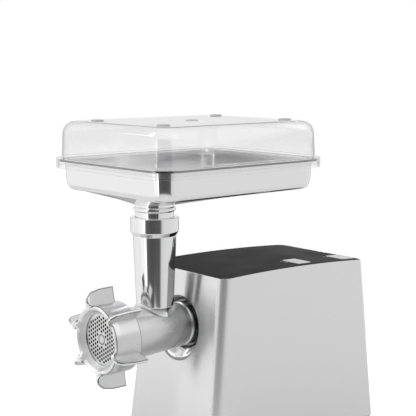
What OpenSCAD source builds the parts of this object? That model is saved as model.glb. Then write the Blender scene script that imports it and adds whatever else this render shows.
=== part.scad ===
// Electric food grinder: steel-clad drive unit, screwed grinding head, hopper tray and clear lid.
// Millimetres. +Z up, front (outlet ring) towards -Y. Origin: middle of the footprint, on the table.

/* [Housing] */
// Width of the steel housing along its top edge
top_w = 132.8; // [124:0.2:150]
// Depth of the housing along its top edge
top_d = 214; // [206:1:240]
// Height of the front top edge above the steel's lower edge
body_h = 189.8; // [184:0.2:215]
// Drop of the rear top edge below the front one
rear_drop = 5.3; // [1:0.1:9]
// Rise of the crowned top between its front and rear edges
crown = 3; // [1:0.5:5]
// Outward lean of each side, per millimetre of height
side_lean = 0.044; // [0.01:0.001:0.1]
// Outward lean of the front, per millimetre of height
front_lean = 0.118; // [0.09:0.001:0.14]
// Outward lean of the rear, per millimetre of height
rear_lean = 0.08; // [0.02:0.01:0.12]
// Radius of the housing's upright corners
corner_r = 8; // [5:1:14]
// Thickness of the steel sheet
sheet_t = 1; // [0.6:0.1:1.4]
// Thickness of the black top panel
panel_t = 2.6; // [2:0.1:3.5]

/* [Base] */
// Height of the feet below the plinth
foot_drop = 4; // [2:0.5:8]
// Radius of a rubber foot
foot_r = 9; // [6:1:12]
// Height of the black plinth that shows under the steel
plinth_h = 4; // [2:0.5:10]
// Step of the plinth inside the steel's lower edge
plinth_inset = 3; // [2:0.5:6]
// Thickness of the base plate
base_t = 3; // [2:0.5:4]

/* [Buttons] */
// Width of a button, across the machine
button_w = 26; // [18:1:28]
// Depth of a button, along the machine
button_d = 20; // [14:1:24]
// Distance of the buttons' centre line from the machine's centre plane
button_x = 40.5; // [36:0.5:43]
// Distance between the middles of the two buttons
button_step = 70.5; // [60:0.5:84]
// Distance of the second button's middle ahead of the housing's rear top edge
button_back = 13.5; // [13.5:0.5:34]
// Height of a button above the strip round it
button_rise = 0.8; // [0.4:0.1:2]
// Travel of a button
button_travel = 2; // [1:0.5:3]

/* [Barrel] */
// Distance of the barrel's axis below the housing's front top edge
axis_down = 56.8; // [52:0.2:60]
// Barrel radius next to the ring
barrel_r1 = 27; // [26:0.5:30]
// Barrel radius next to the housing
barrel_r2 = 23.7; // [23:0.1:25]
// Distance of the ring's rear edge ahead of the front top edge
ring_rear = 82; // [78:1:88]
// Radius of the feed tube under its collar
tube_r1 = 22.3; // [21:0.1:24]
// Radius of the feed tube where it meets the barrel
tube_r2 = 19.4; // [18:0.1:20.5]
// Wall of the feed tube
tube_wall = 2.8; // [2:0.1:3.5]
// Distance of the feed tube's axis ahead of the front top edge
tube_s = 37.5; // [36:0.5:42]
// Height of the feed tube's upper edge above the barrel's axis
tube_h = 118.5; // [112:0.5:128]
// Radius of the collar round the feed tube's upper end
collar_r = 24.9; // [24.5:0.1:27]
// Height of that collar, without its chamfer
collar_h = 15.2; // [10:0.2:20]

/* [Screw ring and plate] */
// Outer radius of the ring's body
ring_r = 36; // [36:0.5:38]
// Length of the ring, from its rear edge to its front lip
ring_l = 31.4; // [30:0.1:36]
// Number of wings
wing_count = 6; // [4:1:8]
// Radius of the circle over the wings
wing_r = 51.2; // [46:0.2:56]
// Thickness of a wing
wing_t = 3; // [2.4:0.2:4]
// Distance by which the wings stand ahead of the lip
wing_lead = 5.6; // [2:0.2:8]
// Angle of the first wing from the right-hand side
wing_turn = 102.4; // [90:0.1:119]
// Radius of the plate that the ring leaves in view
mouth_r = 26.5; // [24:0.5:27]
// Depth of the plate's face behind the ring's lip
mouth_depth = 7.6; // [6:0.2:9]
// Radius of the hole plate
plate_r = 29; // [28.5:0.1:29.2]
// Thickness of the hole plate
plate_t = 6; // [5:0.5:7]
// Radius of one hole in the plate
hole_r = 1.4; // [1:0.1:1.7]
// Distance between neighbouring holes
hole_pitch = 4.1; // [3.8:0.1:6]

/* [Tray and lid] */
// Width of the tray's wall at its rim
tray_w = 176.2; // [160:0.2:190]
// Length of the tray's wall at its rim
tray_d = 209; // [190:0.5:230]
// Height of the tray's rim above the feed tube's upper edge
rim_up = 57; // [50:0.2:64]
// Height of the tray's wall
tray_wall_h = 33.5; // [26:0.5:36]
// Distance of the tray's middle behind the feed tube's axis
tray_back = 45.8; // [36:0.1:52]
// Corner radius of the tray
tray_corner = 18; // [12:1:22]
// Thickness of the tray's sheet
tray_t = 1; // [0.8:0.1:1.4]
// Height of the lid above the tray's rim
lid_h = 39.4; // [32:0.2:60]
// Thickness of the lid
lid_t = 2; // [1.4:0.1:2.4]
// Radius of the lid's upper edges
lid_edge = 13; // [8:1:16]
// Inward lean of the lid's wall, bottom to top
lid_taper = 1.2; // [1:0.2:5]
// Height of the skirt that hangs from the lid's flange
skirt_h = 11; // [7:0.5:14]

/* [Auger and knife] */
// Outer radius of the auger at the knife end
auger_r1 = 22.4; // [20:0.1:22.4]
// Outer radius of the auger at the drive end
auger_r2 = 19.4; // [17:0.1:19.4]
// Turns of the auger's flight
auger_turns = 3.2; // [2:0.2:4]
// Number of knife blades
blade_count = 4; // [2:1:6]

/* [Gears and motor] */
// Teeth of the output gear
teeth_out = 42; // [42:1:44]
// Module of the output pair
module_out = 1.5; // [1.5:0.05:1.6]
// Teeth of the second gear
teeth_second = 40; // [38:1:40]
// Module of the second pair
module_second = 1.25; // [1.2:0.05:1.25]
// Teeth of the first gear
teeth_first = 55; // [50:1:56]
// Module of the first pair
module_first = 1; // [0.95:0.05:1]
// Teeth of the two intermediate pinions
teeth_pinion = 12; // [12:1:14]
// Teeth of the motor pinion
teeth_motor = 10; // [10:1:12]
// Radius of the motor's stator
stator_r = 36; // [32:1:38]
// Length of the motor's lamination stack
stack_l = 44; // [36:1:50]

/* [Hidden] */

$fn = 64;
play = 0.05;      // radial play of a shaft in its bore
gap = 0.3;        // clearance between separate bodies
seat = 0.15;      // clearance between pieces fixed to each other
eps = 0.01;
small_fn = 24;
corner_fn = 32;

// Heights
z_steel = foot_drop + plinth_h;
z_front = z_steel + body_h;
z_axis = z_front - axis_down;
z_rear = z_front - rear_drop;
z_floor = foot_drop + base_t;
y_rear_foot = top_d + rear_lean * (z_rear - z_steel);

// Places along the barrel, measured forwards from the housing's front top edge
s_lip = ring_rear + ring_l;
s_face = s_lip - mouth_depth;
s_plate = s_face - plate_t;
s_wing = s_lip + wing_lead;
s_rear = 10;              // rear end of the barrel's cone
plate_seat_r = plate_r + 0.2;
thread_r = plate_seat_r + 3.4;
bore_r1 = auger_r1 + 0.7;
bore_r2 = auger_r2 + 0.7;
neck_r = 22;              // bayonet neck of the head
lug_r = 25.4;
lug_a = 24;               // angle that one bayonet lug covers
lug_step = 120;
head_twist = 30;          // turn that frees the lugs
journal_r = 9;
pin_r = 4;
hex_af = 12;

// Middle of the footprint: ring wings in front, steel's lower rear edge behind
y_mid = (y_rear_foot - s_wing) / 2;

// Gear train, axes seen from the front as [across, up]
add_k = 0.8;              // tooth tip height over the module
ded_k = 1.15;
press_a = 25;             // pressure angle
backlash = 0.16;
axis_o = [0, z_axis];
d_out = module_out * (teeth_out + teeth_pinion) / 2;
d_second = module_second * (teeth_second + teeth_pinion) / 2;
d_first = module_first * (teeth_first + teeth_motor) / 2;
axis_b = axis_o + d_out * [cos(-135), sin(-135)];
motor_down = 73;          // motor's axis below the barrel's
axis_m = [0, z_axis - motor_down];
bm = norm(axis_m - axis_b);
bm_a = atan2(axis_m[1] - axis_b[1], axis_m[0] - axis_b[0]);
turn_a = acos((d_second * d_second + bm * bm - d_first * d_first) / (2 * d_second * bm));
axis_a = axis_b + d_second * [cos(bm_a + turn_a), sin(bm_a + turn_a)];
tip_out = module_out * (teeth_out / 2 + add_k);
tip_second = module_second * (teeth_second / 2 + add_k);
tip_first = module_first * (teeth_first / 2 + add_k);
case_t = 4;
case_y = 22;              // front face of the gearbox
layer_out = case_y + 11;
out_w = 12;
layer_second = layer_out + out_w + 2;
second_w = 8;
layer_first = layer_second + second_w + 2;
first_w = 7;
cover_y = layer_first + first_w + 2;
cover_t = 4;
case_gap = 2.5;           // room between tooth tips and the wall
axle_r = 3;
out_shaft_r = 7;
socket_y = 5.8;           // front face of the drive socket
shank_y = 14.2;           // rear end of the auger's hexagonal shank
shaft_y = 15;             // front end of the output shaft

// Motor, from the gearbox cover backwards
motor_r = 4;              // shaft
fan_y = cover_y + cover_t + 6;
fan_w = 11;
fan_r = 30;
fan_hub_r = 7;
stack_y = fan_y + fan_w + 14;
wind_l = 9;
air = 0.6;                // gap between armature and poles
core_r = 20;
comm_y = stack_y + stack_l + wind_l + 2;
comm_l = 13;
comm_r = 11;
bracket_y = comm_y + comm_l + 5;
bracket_t = 5;
bearing_r = 9;
bearing_w = 6;
bolt_r = 2;
vent_x = 22;              // vents in the rear bracket
vent_w = 8;
vent_h = 26;
rib_r = stator_r - 4;     // inner radius of the spacers outside the coils
leg_gap = 34;             // opening between the spacers
bolt_places = [for (x = [-19, 19], z = [-27, 27]) [x, z]];
bolt_r_in = norm(bolt_places[0]) - bolt_r;   // inner edge of the bolts, from the motor's axis

// Tray and lid
z_tube_top = z_axis + tube_h;
z_rim = z_tube_top + rim_up;
z_wall = z_rim - tray_wall_h;
z_neck = z_tube_top + 12.5;
tray_y = tray_back - tube_s;
tray_r = 19.9;            // neck of the tray, inside the feed tube's collar
neck_drop = 20;
bead_r = 22;
lid_step = 3.2;           // the lid's wall stands outside the tray's
lid_w = tray_w + 2 * lid_step;
lid_d = tray_d + 2 * lid_step;
flange = 5.6;
lid_corner = tray_corner + 3;
z_lid = z_rim + 0.3;
peg_w = 110.4;
peg_d = 163.6;
peg_back = 4.6;           // the pegs' middle behind the lid's
peg_r = 7;
peg_h = 1.3;

// Top panel and buttons
button_2_y = top_d - button_back;
button_1_y = button_2_y - button_step;
crown_steps = 24;
panel_drop = 0.5;         // panel surface below the steel's edge
strip_margin = 12;
strip_w = button_w + 5;
board_drop = 14;
switch_h = 4;
spring_r = 5.6;
spring_wire = 0.6;

function top_z(y) = z_front - rear_drop * y / top_d + 4 * crown * (y / top_d) * (1 - y / top_d);
function half_w(z, inset) = top_w / 2 + side_lean * (z_front - z) - inset;
function front_y(z, inset) = -front_lean * (z_front - z) + inset;
function rear_y(z, inset) = top_d + rear_lean * (z_rear - z) - inset;

// Puts the machine's frame on the part's origin
module framed() {
  translate([0, -y_mid, 0]) children();
}

// Local Z runs forwards along the barrel, from the plane of the front top edge
module on_barrel() {
  translate([0, 0, z_axis]) rotate([90, 0, 0]) children();
}

// Local Z runs backwards from y, on an axis given as [across, up]
module on_axis(a, y) {
  translate([a[0], y, a[1]]) rotate([90, 0, 0]) mirror([0, 0, 1]) children();
}

// Rectangle with round corners, centred
module round_rect(w, d, r) {
  square([w - 2 * r, d], center = true);
  square([w, d - 2 * r], center = true);
  for (x = [-1, 1], y = [-1, 1]) translate([x * (w / 2 - r), y * (d / 2 - r)]) circle(r, $fn = corner_fn);
}

// Thin level slice of the housing at height z, drawn in by inset
module housing_slice(z, inset) {
  y1 = front_y(z, inset);
  y2 = rear_y(z, inset);
  translate([0, (y1 + y2) / 2, z])
    linear_extrude(eps) round_rect(2 * half_w(z, inset), y2 - y1, max(corner_r - inset, 1));
}

module housing_body(inset, z1, z2) {
  hull() {
    housing_slice(z1, inset);
    housing_slice(z2, inset);
  }
}

// Everything under the crowned top surface, lowered by drop
module under_crown(drop) {
  reach = 30;
  pts = [for (i = [0:crown_steps]) let (y = top_d * i / crown_steps) [y, top_z(y) - drop]];
  rotate([90, 0, 90])
    linear_extrude(2 * top_w, center = true)
      polygon(concat([[-reach, 0], [-reach, z_front - drop]], pts,
                     [[top_d + reach, z_rear - drop], [top_d + reach, 0]]));
}

// Layer between two depths under the crowned surface, inside the given outline
module crown_layer(d1, d2) {
  difference() {
    intersection() {
      children();
      under_crown(d1);
    }
    under_crown(d2);
  }
}

// Dished recess round the barrel: radius grows towards the front
dish_r0 = 25.4;
dish_k = 1.04;
dish_back = -3;
function dish_r(s) = dish_r0 + dish_k * s;

module dish_cone(extra) {
  s2 = 18;
  on_barrel() translate([0, 0, dish_back - 3])
    cylinder(h = s2 - dish_back + 3, r1 = dish_r(dish_back - 3) + extra, r2 = dish_r(s2) + extra, $fn = 96);
}

module housing_shell() {
  color("silver")
  difference() {
    intersection() {
      housing_body(0, z_steel, z_front + crown + 2);
      under_crown(0);
    }
    housing_body(sheet_t, z_steel - 1, z_front + crown + 3);
    dish_cone(1.2 + seat);
    at_gland() translate([0, 0, -4]) cylinder(h = 12, r = gland_r + seat);
    rear_slots();
  }
}

// Louvre slots low in the rear wall
slot_count = 9;
slot_w = 3;
slot_h = 26;
slot_pitch = 8;
module rear_slots() {
  for (i = [0:slot_count - 1])
    translate([(i - (slot_count - 1) / 2) * slot_pitch - slot_w / 2, rear_y(slot_z, 6), slot_z])
      cube([slot_w, 12, slot_h]);
}
slot_z = z_steel + 62;

// Posts that hang from the top panel and carry the switch board
module board_posts() {
  for (x = [-1, 1], y = [button_1_y - 6, button_2_y - 6])
    translate([button_x + x * (strip_w / 2 + 3.6), y, board_z()]) children();
}

module strip_outline(extra) {
  y1 = button_1_y - button_d / 2 - 3;
  y2 = button_2_y + button_d / 2 + 1.5;
  w = strip_w + 2 * extra;
  translate([button_x, (y1 + y2) / 2, 0]) round_rect(w, y2 - y1 + 2 * extra, 2);
}

module button_outline(y, extra) {
  translate([button_x, y, 0]) round_rect(button_w + 2 * extra, button_d + 2 * extra, 1.5);
}

module tall(z1, h) {
  translate([0, 0, z1]) linear_extrude(h) children();
}

module top_panel() {
  color("#202022")
  difference() {
    union() {
      crown_layer(panel_drop, panel_drop + panel_t)
        housing_body(sheet_t + seat, z_front - 30, z_front + crown + 3);
      difference() {
        crown_layer(panel_drop + panel_t - eps, panel_drop + panel_t + 9)
          housing_body(sheet_t + seat, z_front - 30, z_front + crown + 3);
        housing_body(sheet_t + seat + 2, z_front - 40, z_front + crown + 4);
      }
      intersection() {
        board_posts() cylinder(h = 2 * board_drop, r = 2.6, $fn = small_fn);
        under_crown(panel_drop + panel_t / 2);
      }
    }
    tall(z_rear - 30, 60) strip_outline(seat);
    board_posts() translate([0, 0, -1]) cylinder(h = 8, r = 1.1, $fn = small_fn);
  }
}

module control_strip() {
  color("#101012")
  difference() {
    crown_layer(panel_drop, panel_drop + panel_t) tall(z_rear - 30, 60) strip_outline(0);
    for (y = [button_1_y, button_2_y]) tall(z_rear - 30, 60) button_outline(y, gap);
  }
}

// Cap with a flange under the strip and a stem on the switch
module button(y) {
  z_stem = board_z() + switch_h + gap;
  color("#c9cacc") {
    crown_layer(panel_drop - button_rise, panel_drop + panel_t + gap + 0.5) tall(z_rear - 30, 60) button_outline(y, 0);
    crown_layer(panel_drop + panel_t + gap, panel_drop + panel_t + gap + 1.4)
      tall(z_rear - 30, 60) translate([button_x, y, 0]) round_rect(button_w + 3, button_d + 3, 2);
    translate([button_x, y, z_stem])
      cylinder(h = top_z(y) - panel_drop - panel_t - gap - 1 - z_stem, r = 1.2, $fn = small_fn);
  }
}

// Upper face of the level switch board under the buttons
function board_z() = top_z(button_2_y) - board_drop;

module on_off_button() {
  button(button_1_y);
}

module reverse_button() {
  button(button_2_y);
}

// Closed tube with round sections, one ring of points per entry of rings
module sweep(rings) {
  m = len(rings[0]);
  n = len(rings);
  pts = [for (r = rings) for (p = r) p];
  last = (n - 1) * m;
  ends = concat([for (j = [1:m - 2]) [0, j, j + 1]], [for (j = [1:m - 2]) [last, last + j + 1, last + j]]);
  sides = [for (i = [0:n - 2], j = [0:m - 1]) let (a = i * m + j, b = i * m + (j + 1) % m)
           for (t = [[a, a + m, b], [b, a + m, b + m]]) t];
  polyhedron(points = pts, faces = concat(ends, sides));
}

// Compression spring of round wire, standing on z = 0
module coil_spring(r, wire, length, turns) {
  steps = turns * 14;
  sweep([for (i = [0:steps]) let (a = 360 * turns * i / steps, z = wire + (length - 2 * wire) * i / steps)
         [for (j = [0:5]) let (b = -60 * j, q = r + wire * cos(b)) [q * cos(a), q * sin(a), z + wire * sin(b)]]]);
}

module button_spring(y) {
  z1 = board_z() + 0.05;
  z2 = min(top_z(y - button_d / 2), top_z(y + button_d / 2)) - panel_drop - panel_t - gap - 1.4;
  color("silver") translate([button_x, y, z1]) coil_spring(spring_r, spring_wire, z2 - z1 - 0.15, 4);
}

module on_off_spring() {
  button_spring(button_1_y);
}

module reverse_spring() {
  button_spring(button_2_y);
}

module button_switches() {
  color("#303030")
  for (y = [button_1_y, button_2_y]) translate([button_x, y, board_z()]) difference() {
    union() {
      translate([-3.2, -3.2, 0]) cube([6.4, 6.4, switch_h - 0.8]);
      cylinder(h = switch_h, r = 2.6, $fn = small_fn);
    }
    translate([0, 0, switch_h - button_travel - 0.5]) cylinder(h = 9, r = 1.5, $fn = small_fn);
  }
}

module switch_board() {
  y1 = button_1_y - 12;
  w = strip_w + 13;
  color("#1f6b3a")
  difference() {
    translate([button_x - w / 2, y1, board_z() - 1.65]) cube([w, button_2_y + 9 - y1, 1.6]);
    board_posts() translate([0, 0, -3]) cylinder(h = 5, r = 1.2, $fn = small_fn);
  }
}

foot_x = half_w(z_steel, plinth_inset) - 18;
foot_y1 = front_y(z_steel, plinth_inset) + 20;
foot_y2 = rear_y(z_steel, plinth_inset) - 20;
boss_h = 14;

module feet_places() {
  for (x = [-foot_x, foot_x], y = [foot_y1, foot_y2]) translate([x, y, 0]) children();
}

module screw_places() {
  for (x = [-foot_x, foot_x], y = [foot_y1 + 34, foot_y2 - 34]) translate([x, y, 0]) children();
}

// Cradle rib that carries the motor
module cradle(y) {
  difference() {
    translate([-24, y - 3, z_floor - eps]) cube([48, 6, axis_m[1] - z_floor - 20]);
    translate([axis_m[0], y - 4, axis_m[1]]) rotate([-90, 0, 0]) cylinder(h = 8, r = stator_r + seat);
  }
}

module base_plate() {
  color("#1c1c1e")
  difference() {
    union() {
      difference() {
        union() {
          housing_body(plinth_inset, foot_drop, z_steel + eps);
          housing_body(sheet_t + seat, z_steel, z_steel + 9);
        }
        housing_body(sheet_t + seat + 2.5, z_floor, z_steel + 12);
      }
      cradle(stack_y + 5);
      cradle(stack_y + stack_l - 5);
      screw_places() translate([0, 0, foot_drop]) cylinder(h = boss_h, r = 5, $fn = small_fn);
      for (x = [board_x1 + board_post, board_x2 - board_post], y = [board_y + board_post, board_y + board_l - board_post])
        translate([x, y, z_floor - eps]) cylinder(h = board_up, r = 3, $fn = small_fn);
    }
    feet_places() translate([0, 0, foot_drop - 1]) cylinder(h = 2.5, r = foot_r - 1, $fn = 48);
    screw_places() {
      translate([0, 0, foot_drop - 1]) cylinder(h = boss_h + 2, r = 2, $fn = small_fn);
      translate([0, 0, foot_drop - 1]) cylinder(h = 4.4, r = 3.8, $fn = small_fn);
    }
    for (i = [-4:4]) translate([i * 8 - 1.6, fan_y - 14, foot_drop - 1]) cube([3.2, 40, 6]);
  }
}

module rubber_feet() {
  color("#151515")
  feet_places() {
    cylinder(h = 1.2, r1 = foot_r - 1.2, r2 = foot_r, $fn = 48);
    translate([0, 0, 1.2 - eps]) cylinder(h = foot_drop - 1.2, r = foot_r, $fn = 48);
    translate([0, 0, foot_drop - eps]) cylinder(h = 1.4, r = foot_r - 1.2, $fn = 48);
  }
}

module base_screws() {
  color("silver")
  screw_places() {
    translate([0, 0, foot_drop + 0.9]) cylinder(h = 2.4, r = 3.5, $fn = small_fn);
    translate([0, 0, foot_drop + 3.2]) cylinder(h = 9, r = 1.9, $fn = small_fn);
  }
}

// Rubber bush where the mains lead enters, low in the rear wall
gland_x = 40;
gland_z = z_steel + 40;
gland_r = 7;
gland_bore = 3.6;

// Local Z runs into the housing, square to the leaning rear wall
module at_gland() {
  translate([gland_x, rear_y(gland_z, 0), gland_z]) rotate([90 + atan(rear_lean), 0, 0]) children();
}

module cord_gland() {
  lip = 1.7;
  color("#151515")
  at_gland() difference() {
    union() {
      translate([0, 0, -lip - 0.05]) cylinder(h = lip, r = gland_r + 2.5, $fn = 48);
      translate([0, 0, -0.2]) cylinder(h = sheet_t + 0.5, r = gland_r, $fn = 48);
      translate([0, 0, sheet_t + 0.1]) cylinder(h = 2.5, r = gland_r + 2, $fn = 48);
    }
    translate([0, 0, -4]) cylinder(h = 10, r = gland_bore, $fn = 48);
  }
}

// Mains board beside the motor, between the stator's flat side and the plinth's wall
board_gap = 4;
board_x1 = -half_w(z_steel, sheet_t + seat + 2.5 + board_gap);
board_x2 = -(stator_r - 4) - board_gap;
board_y = fan_y + fan_w + 1;
board_l = 54;
board_t = 1.6;
board_up = 6;
board_post = 5;

module power_board() {
  z = z_floor + board_up;
  x = (board_x1 + board_x2) / 2;
  w = board_x2 - board_x1;
  color("#1f6b3a") translate([board_x1, board_y, z]) cube([w, board_l, board_t]);
  color("#2a4d8f") translate([x - w * 0.3, board_y + 9, z + board_t - 0.1]) cube([w * 0.6, 15, 15]);
  color("#b0452a") translate([x, board_y + 34, z + board_t - 0.1]) cylinder(h = 18, r = w * 0.2, $fn = 32);
  color("#303030") translate([x - w * 0.2, board_y + 42, z + board_t - 0.1]) cube([w * 0.4, 9, 12]);
}

// Polished dish pressed into the front, round the barrel
module throat_dish() {
  wall = 1.2;
  color("silver")
  intersection() {
    on_barrel() rotate_extrude($fn = 96)
      polygon([[neck_r + 0.5, dish_back - wall], [dish_r(dish_back) + wall, dish_back - wall],
               [dish_r(dish_back) + wall, dish_back],
               [dish_r(18) + wall, 18], [dish_r(18), 18], [dish_r(dish_back), dish_back],
               [neck_r + 0.5, dish_back]]);
    housing_body(0, z_steel, z_front);
  }
}

// Upright frame behind the front wall, with the bayonet socket
frame_y = -dish_back + 1.3;
frame_t = 11;

socket_r = 31;
groove_z = 3;
groove_w = 4.8;

// Three layers: rear collar, lug groove, and front collar with the entry slots
module socket_ring() {
  on_barrel() translate([0, 0, -frame_y - frame_t]) {
    linear_extrude(groove_z) ring_2d(socket_r, neck_r + 0.5);
    translate([0, 0, groove_z]) linear_extrude(groove_w) ring_2d(socket_r, lug_r + 0.6);
    translate([0, 0, groove_z + groove_w]) linear_extrude(frame_t - groove_z - groove_w) difference() {
      ring_2d(socket_r, neck_r + 0.5);
      for (i = [0:2]) rotate(lug_step * i + 90 + head_twist) intersection() {
        circle(lug_r + 1.2);
        sector(lug_a + 7, 40);
      }
    }
  }
}

module ring_2d(r1, r2) {
  difference() {
    circle(r1);
    circle(r2);
  }
}

// Pie slice centred on the X axis
module sector(a, r) {
  polygon([[0, 0], [r * cos(a / 2), -r * sin(a / 2)], [r * 1.1, 0], [r * cos(a / 2), r * sin(a / 2)]]);
}

frame_w = 88;
stand_offs = [axis_o + [0, 36], axis_b + [-8, 0], axis_a + [22, -5]];

module front_frame() {
  y2 = frame_y + frame_t;
  color("#3a3a3d")
  difference() {
    union() {
      socket_ring();
      difference() {
        translate([-frame_w / 2, y2 - 3, z_floor]) cube([frame_w, 3, z_axis + 40 - z_floor]);
        on_barrel() translate([0, 0, -y2 - 1]) cylinder(h = 8, r = 30.5);
      }
      for (x = [-1, 1])
        translate([x * (frame_w / 2 - 1.5) - 1.5, frame_y + 2, z_floor]) cube([3, 8, z_axis - z_floor]);
      translate([-frame_w / 2, y2 - 16, z_floor]) cube([frame_w, 14, 3]);
      for (p = stand_offs) disc_at(p, y2 - 1, case_y - 0.05 - y2 + 1, 3.5);
    }
    translate([-30, frame_y, z_floor + 14]) cube([60, 20, 42]);
  }
}

// Involute gear outline with one tooth centred on direction at
function inv_a(a) = tan(a) * 180 / PI - a;
module gear_2d(teeth, mod, at) {
  rp = teeth * mod / 2;
  rb = rp * cos(press_a);
  ra = rp + add_k * mod;
  rf = rp - ded_k * mod;
  half = 90 / teeth + inv_a(press_a) - backlash / 2 / rp * 180 / PI;
  r0 = max(rb, rf);
  flank = [for (i = [0:4]) let (r = r0 + (ra - r0) * i / 4) [r, half - inv_a(acos(min(1, rb / r)))]];
  root = [[rf, half + (rb > rf ? 0.3 / rp * 180 / PI : 0)]];
  left = concat(root, flank);
  polygon([for (t = [0:teeth - 1]) let (c = at + 360 * t / teeth)
           for (k = [0:2 * len(left) - 1])
             let (p = k < len(left) ? left[k] : left[2 * len(left) - 1 - k], s = k < len(left) ? -1 : 1)
             p[0] * [cos(c + s * p[1]), sin(c + s * p[1])]]);
}

a_ob = atan2(axis_b[1] - axis_o[1], axis_b[0] - axis_o[0]);
a_ba = atan2(axis_a[1] - axis_b[1], axis_a[0] - axis_b[0]);
a_am = atan2(axis_m[1] - axis_a[1], axis_m[0] - axis_a[0]);

// Flat gear outline placed in the machine's upright plane, from y backwards
module gear_at(a, y, w, teeth, mod, at, bore) {
  translate([a[0], y + w, a[1]]) rotate([90, 0, 0]) linear_extrude(w) difference() {
    gear_2d(teeth, mod, at);
    circle(bore, $fn = 48);
  }
}

// Round piece on an axis, from y backwards
module disc_at(a, y, w, r, bore = 0) {
  translate([a[0], y + w, a[1]]) rotate([90, 0, 0]) linear_extrude(w) difference() {
    circle(r, $fn = 64);
    if (bore > 0) circle(bore, $fn = 48);
  }
}

module output_gear() {
  color("#8a8d90") {
    difference() {
      gear_at(axis_o, layer_out, out_w, teeth_out, module_out, a_ob, out_shaft_r + play);
      for (side = [layer_out - 1, layer_out + out_w - 3])
        disc_at(axis_o, side, 4, tip_out - 6, 13);
    }
  }
}

module second_gear() {
  color("#e8e6df") {
    gear_at(axis_b, layer_out + 0.5, out_w - 1 + 2.6, teeth_pinion, module_out, a_ob + 180 + 180 / teeth_pinion,
            axle_r + play);
    difference() {
      gear_at(axis_b, layer_second, second_w, teeth_second, module_second, a_ba, axle_r + play);
      disc_at(axis_b, layer_second + second_w - 2.5, 4, tip_second - 5, 10);
    }
  }
}

module first_gear() {
  color("#e8e6df") {
    gear_at(axis_a, layer_second + 0.5, second_w - 1 + 2.6, teeth_pinion, module_second,
            a_ba + 180 + 180 / teeth_pinion, axle_r + play);
    difference() {
      gear_at(axis_a, layer_first, first_w, teeth_first, module_first, a_am, axle_r + play);
      disc_at(axis_a, layer_first + first_w - 2, 4, tip_first - 5, 10);
    }
  }
}

module motor_pinion() {
  color("#8a8d90")
  gear_at(axis_m, layer_first - 0.5, first_w + 1, teeth_motor, module_first, a_am + 180 + 180 / teeth_motor,
          pinion_bore + play);
}
pinion_bore = 2.5;

module output_shaft() {
  color("#9a9da0") disc_at(axis_o, shaft_y, cover_y + cover_t + 2 - shaft_y, out_shaft_r);
}

module drive_socket() {
  color("#8a8d90")
  difference() {
    disc_at(axis_o, socket_y, case_y - 0.5 - socket_y, 11.5);
    translate([0, socket_y - 1, z_axis]) rotate([-90, 0, 0]) rotate(30)
      cylinder(h = shaft_y - socket_y + 0.9, r = (hex_af / 2 + 0.15) / cos(30), $fn = 6);
    translate([0, shaft_y - 0.2, z_axis]) rotate([-90, 0, 0]) cylinder(h = 20, r = out_shaft_r + play);
  }
}

module output_bush() {
  color("#b08d57") disc_at(axis_o, case_y + 0.6, 10 - 0.9, 10.5, out_shaft_r + play);
}

module rear_output_bush() {
  color("#b08d57") disc_at(axis_o, cover_y - 1.4, cover_t + 1.2, 10, out_shaft_r + play);
}

module second_axle() {
  color("silver") disc_at(axis_b, case_y + 1.5, cover_y + cover_t - 1 - case_y - 1.5, axle_r);
}

module first_axle() {
  color("silver") disc_at(axis_a, case_y + 1.5, cover_y + cover_t - 1 - case_y - 1.5, axle_r);
}

// Outline of the gearbox: round every gear, grown by extra
module case_outline(extra) {
  for (g = [[axis_o, tip_out], [axis_b, tip_second], [axis_a, tip_first], [axis_m, 6]])
    translate(g[0]) circle(g[1] + case_gap + extra, $fn = 96);
}

module upright(y, w) {
  translate([0, y + w, 0]) rotate([90, 0, 0]) linear_extrude(w) children();
}

case_screws = [axis_o + [0, tip_out + 9], axis_b + [-tip_second - 8, 0], axis_a + [tip_first + 8, 0],
               axis_m + [-2, -15]];

module gearbox_case() {
  color("#d8d8d4")
  difference() {
    union() {
      upright(case_y, case_t) case_outline(3);
      upright(case_y, cover_y - case_y) difference() {
        case_outline(3);
        case_outline(0);
      }
      for (p = case_screws) disc_at(p, case_y, cover_y - case_y, 4.5);
      disc_at(axis_o, case_y + case_t - eps, 6, 14);
      for (a = [axis_a, axis_b]) disc_at(a, case_y + case_t - eps, 5, 6);
    }
    disc_at(axis_o, case_y + 0.5, 12, 10.5 + play);
    disc_at(axis_o, case_y - 1, 4, out_shaft_r + 2);
    for (a = [axis_a, axis_b]) disc_at(a, case_y + 1.4, 20, axle_r + play);
    for (p = case_screws) disc_at(p, case_y + 8, cover_y - case_y, 1.7);
  }
}

module gearbox_cover() {
  color("#c8c8c4")
  difference() {
    union() {
      upright(cover_y + 0.05, cover_t) case_outline(3);
      for (p = case_screws) disc_at(p, cover_y + 0.05, cover_t, 4.5);
      disc_at(axis_m, cover_y + cover_t - eps, 3, bearing_r + 3);
    }
    disc_at(axis_o, cover_y - 1, cover_t + 4, 10 + play);
    disc_at(axis_m, cover_y + 1.2, cover_t + 6, bearing_r + play);
    disc_at(axis_m, cover_y - 1, 4, 6.5);
    for (a = [axis_a, axis_b]) disc_at(a, cover_y - 1, cover_t + 0.1, axle_r + play);
    for (p = case_screws) disc_at(p, cover_y - 1, cover_t + 3, 2.2);
    for (p = case_screws) disc_at(p, cover_y + cover_t + 0.05, 4, 4.1);
  }
}

module gearbox_screws() {
  color("silver")
  for (p = case_screws) {
    disc_at(p, cover_y - 18, 18 + cover_t + 0.15, 1.6);
    disc_at(p, cover_y + cover_t + 0.1, 2.6, 3.8);
  }
}

module motor_shaft() {
  color("silver") {
    disc_at(axis_m, layer_first - 2, cover_y - layer_first + 2.6, pinion_bore);
    disc_at(axis_m, cover_y + 0.5, bracket_y + bracket_t - cover_y + 2, motor_r);
  }
}

module front_motor_bearing() {
  color("#a8abae") disc_at(axis_m, cover_y + 1.3, bearing_w, bearing_r, motor_r + play);
}

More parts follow.
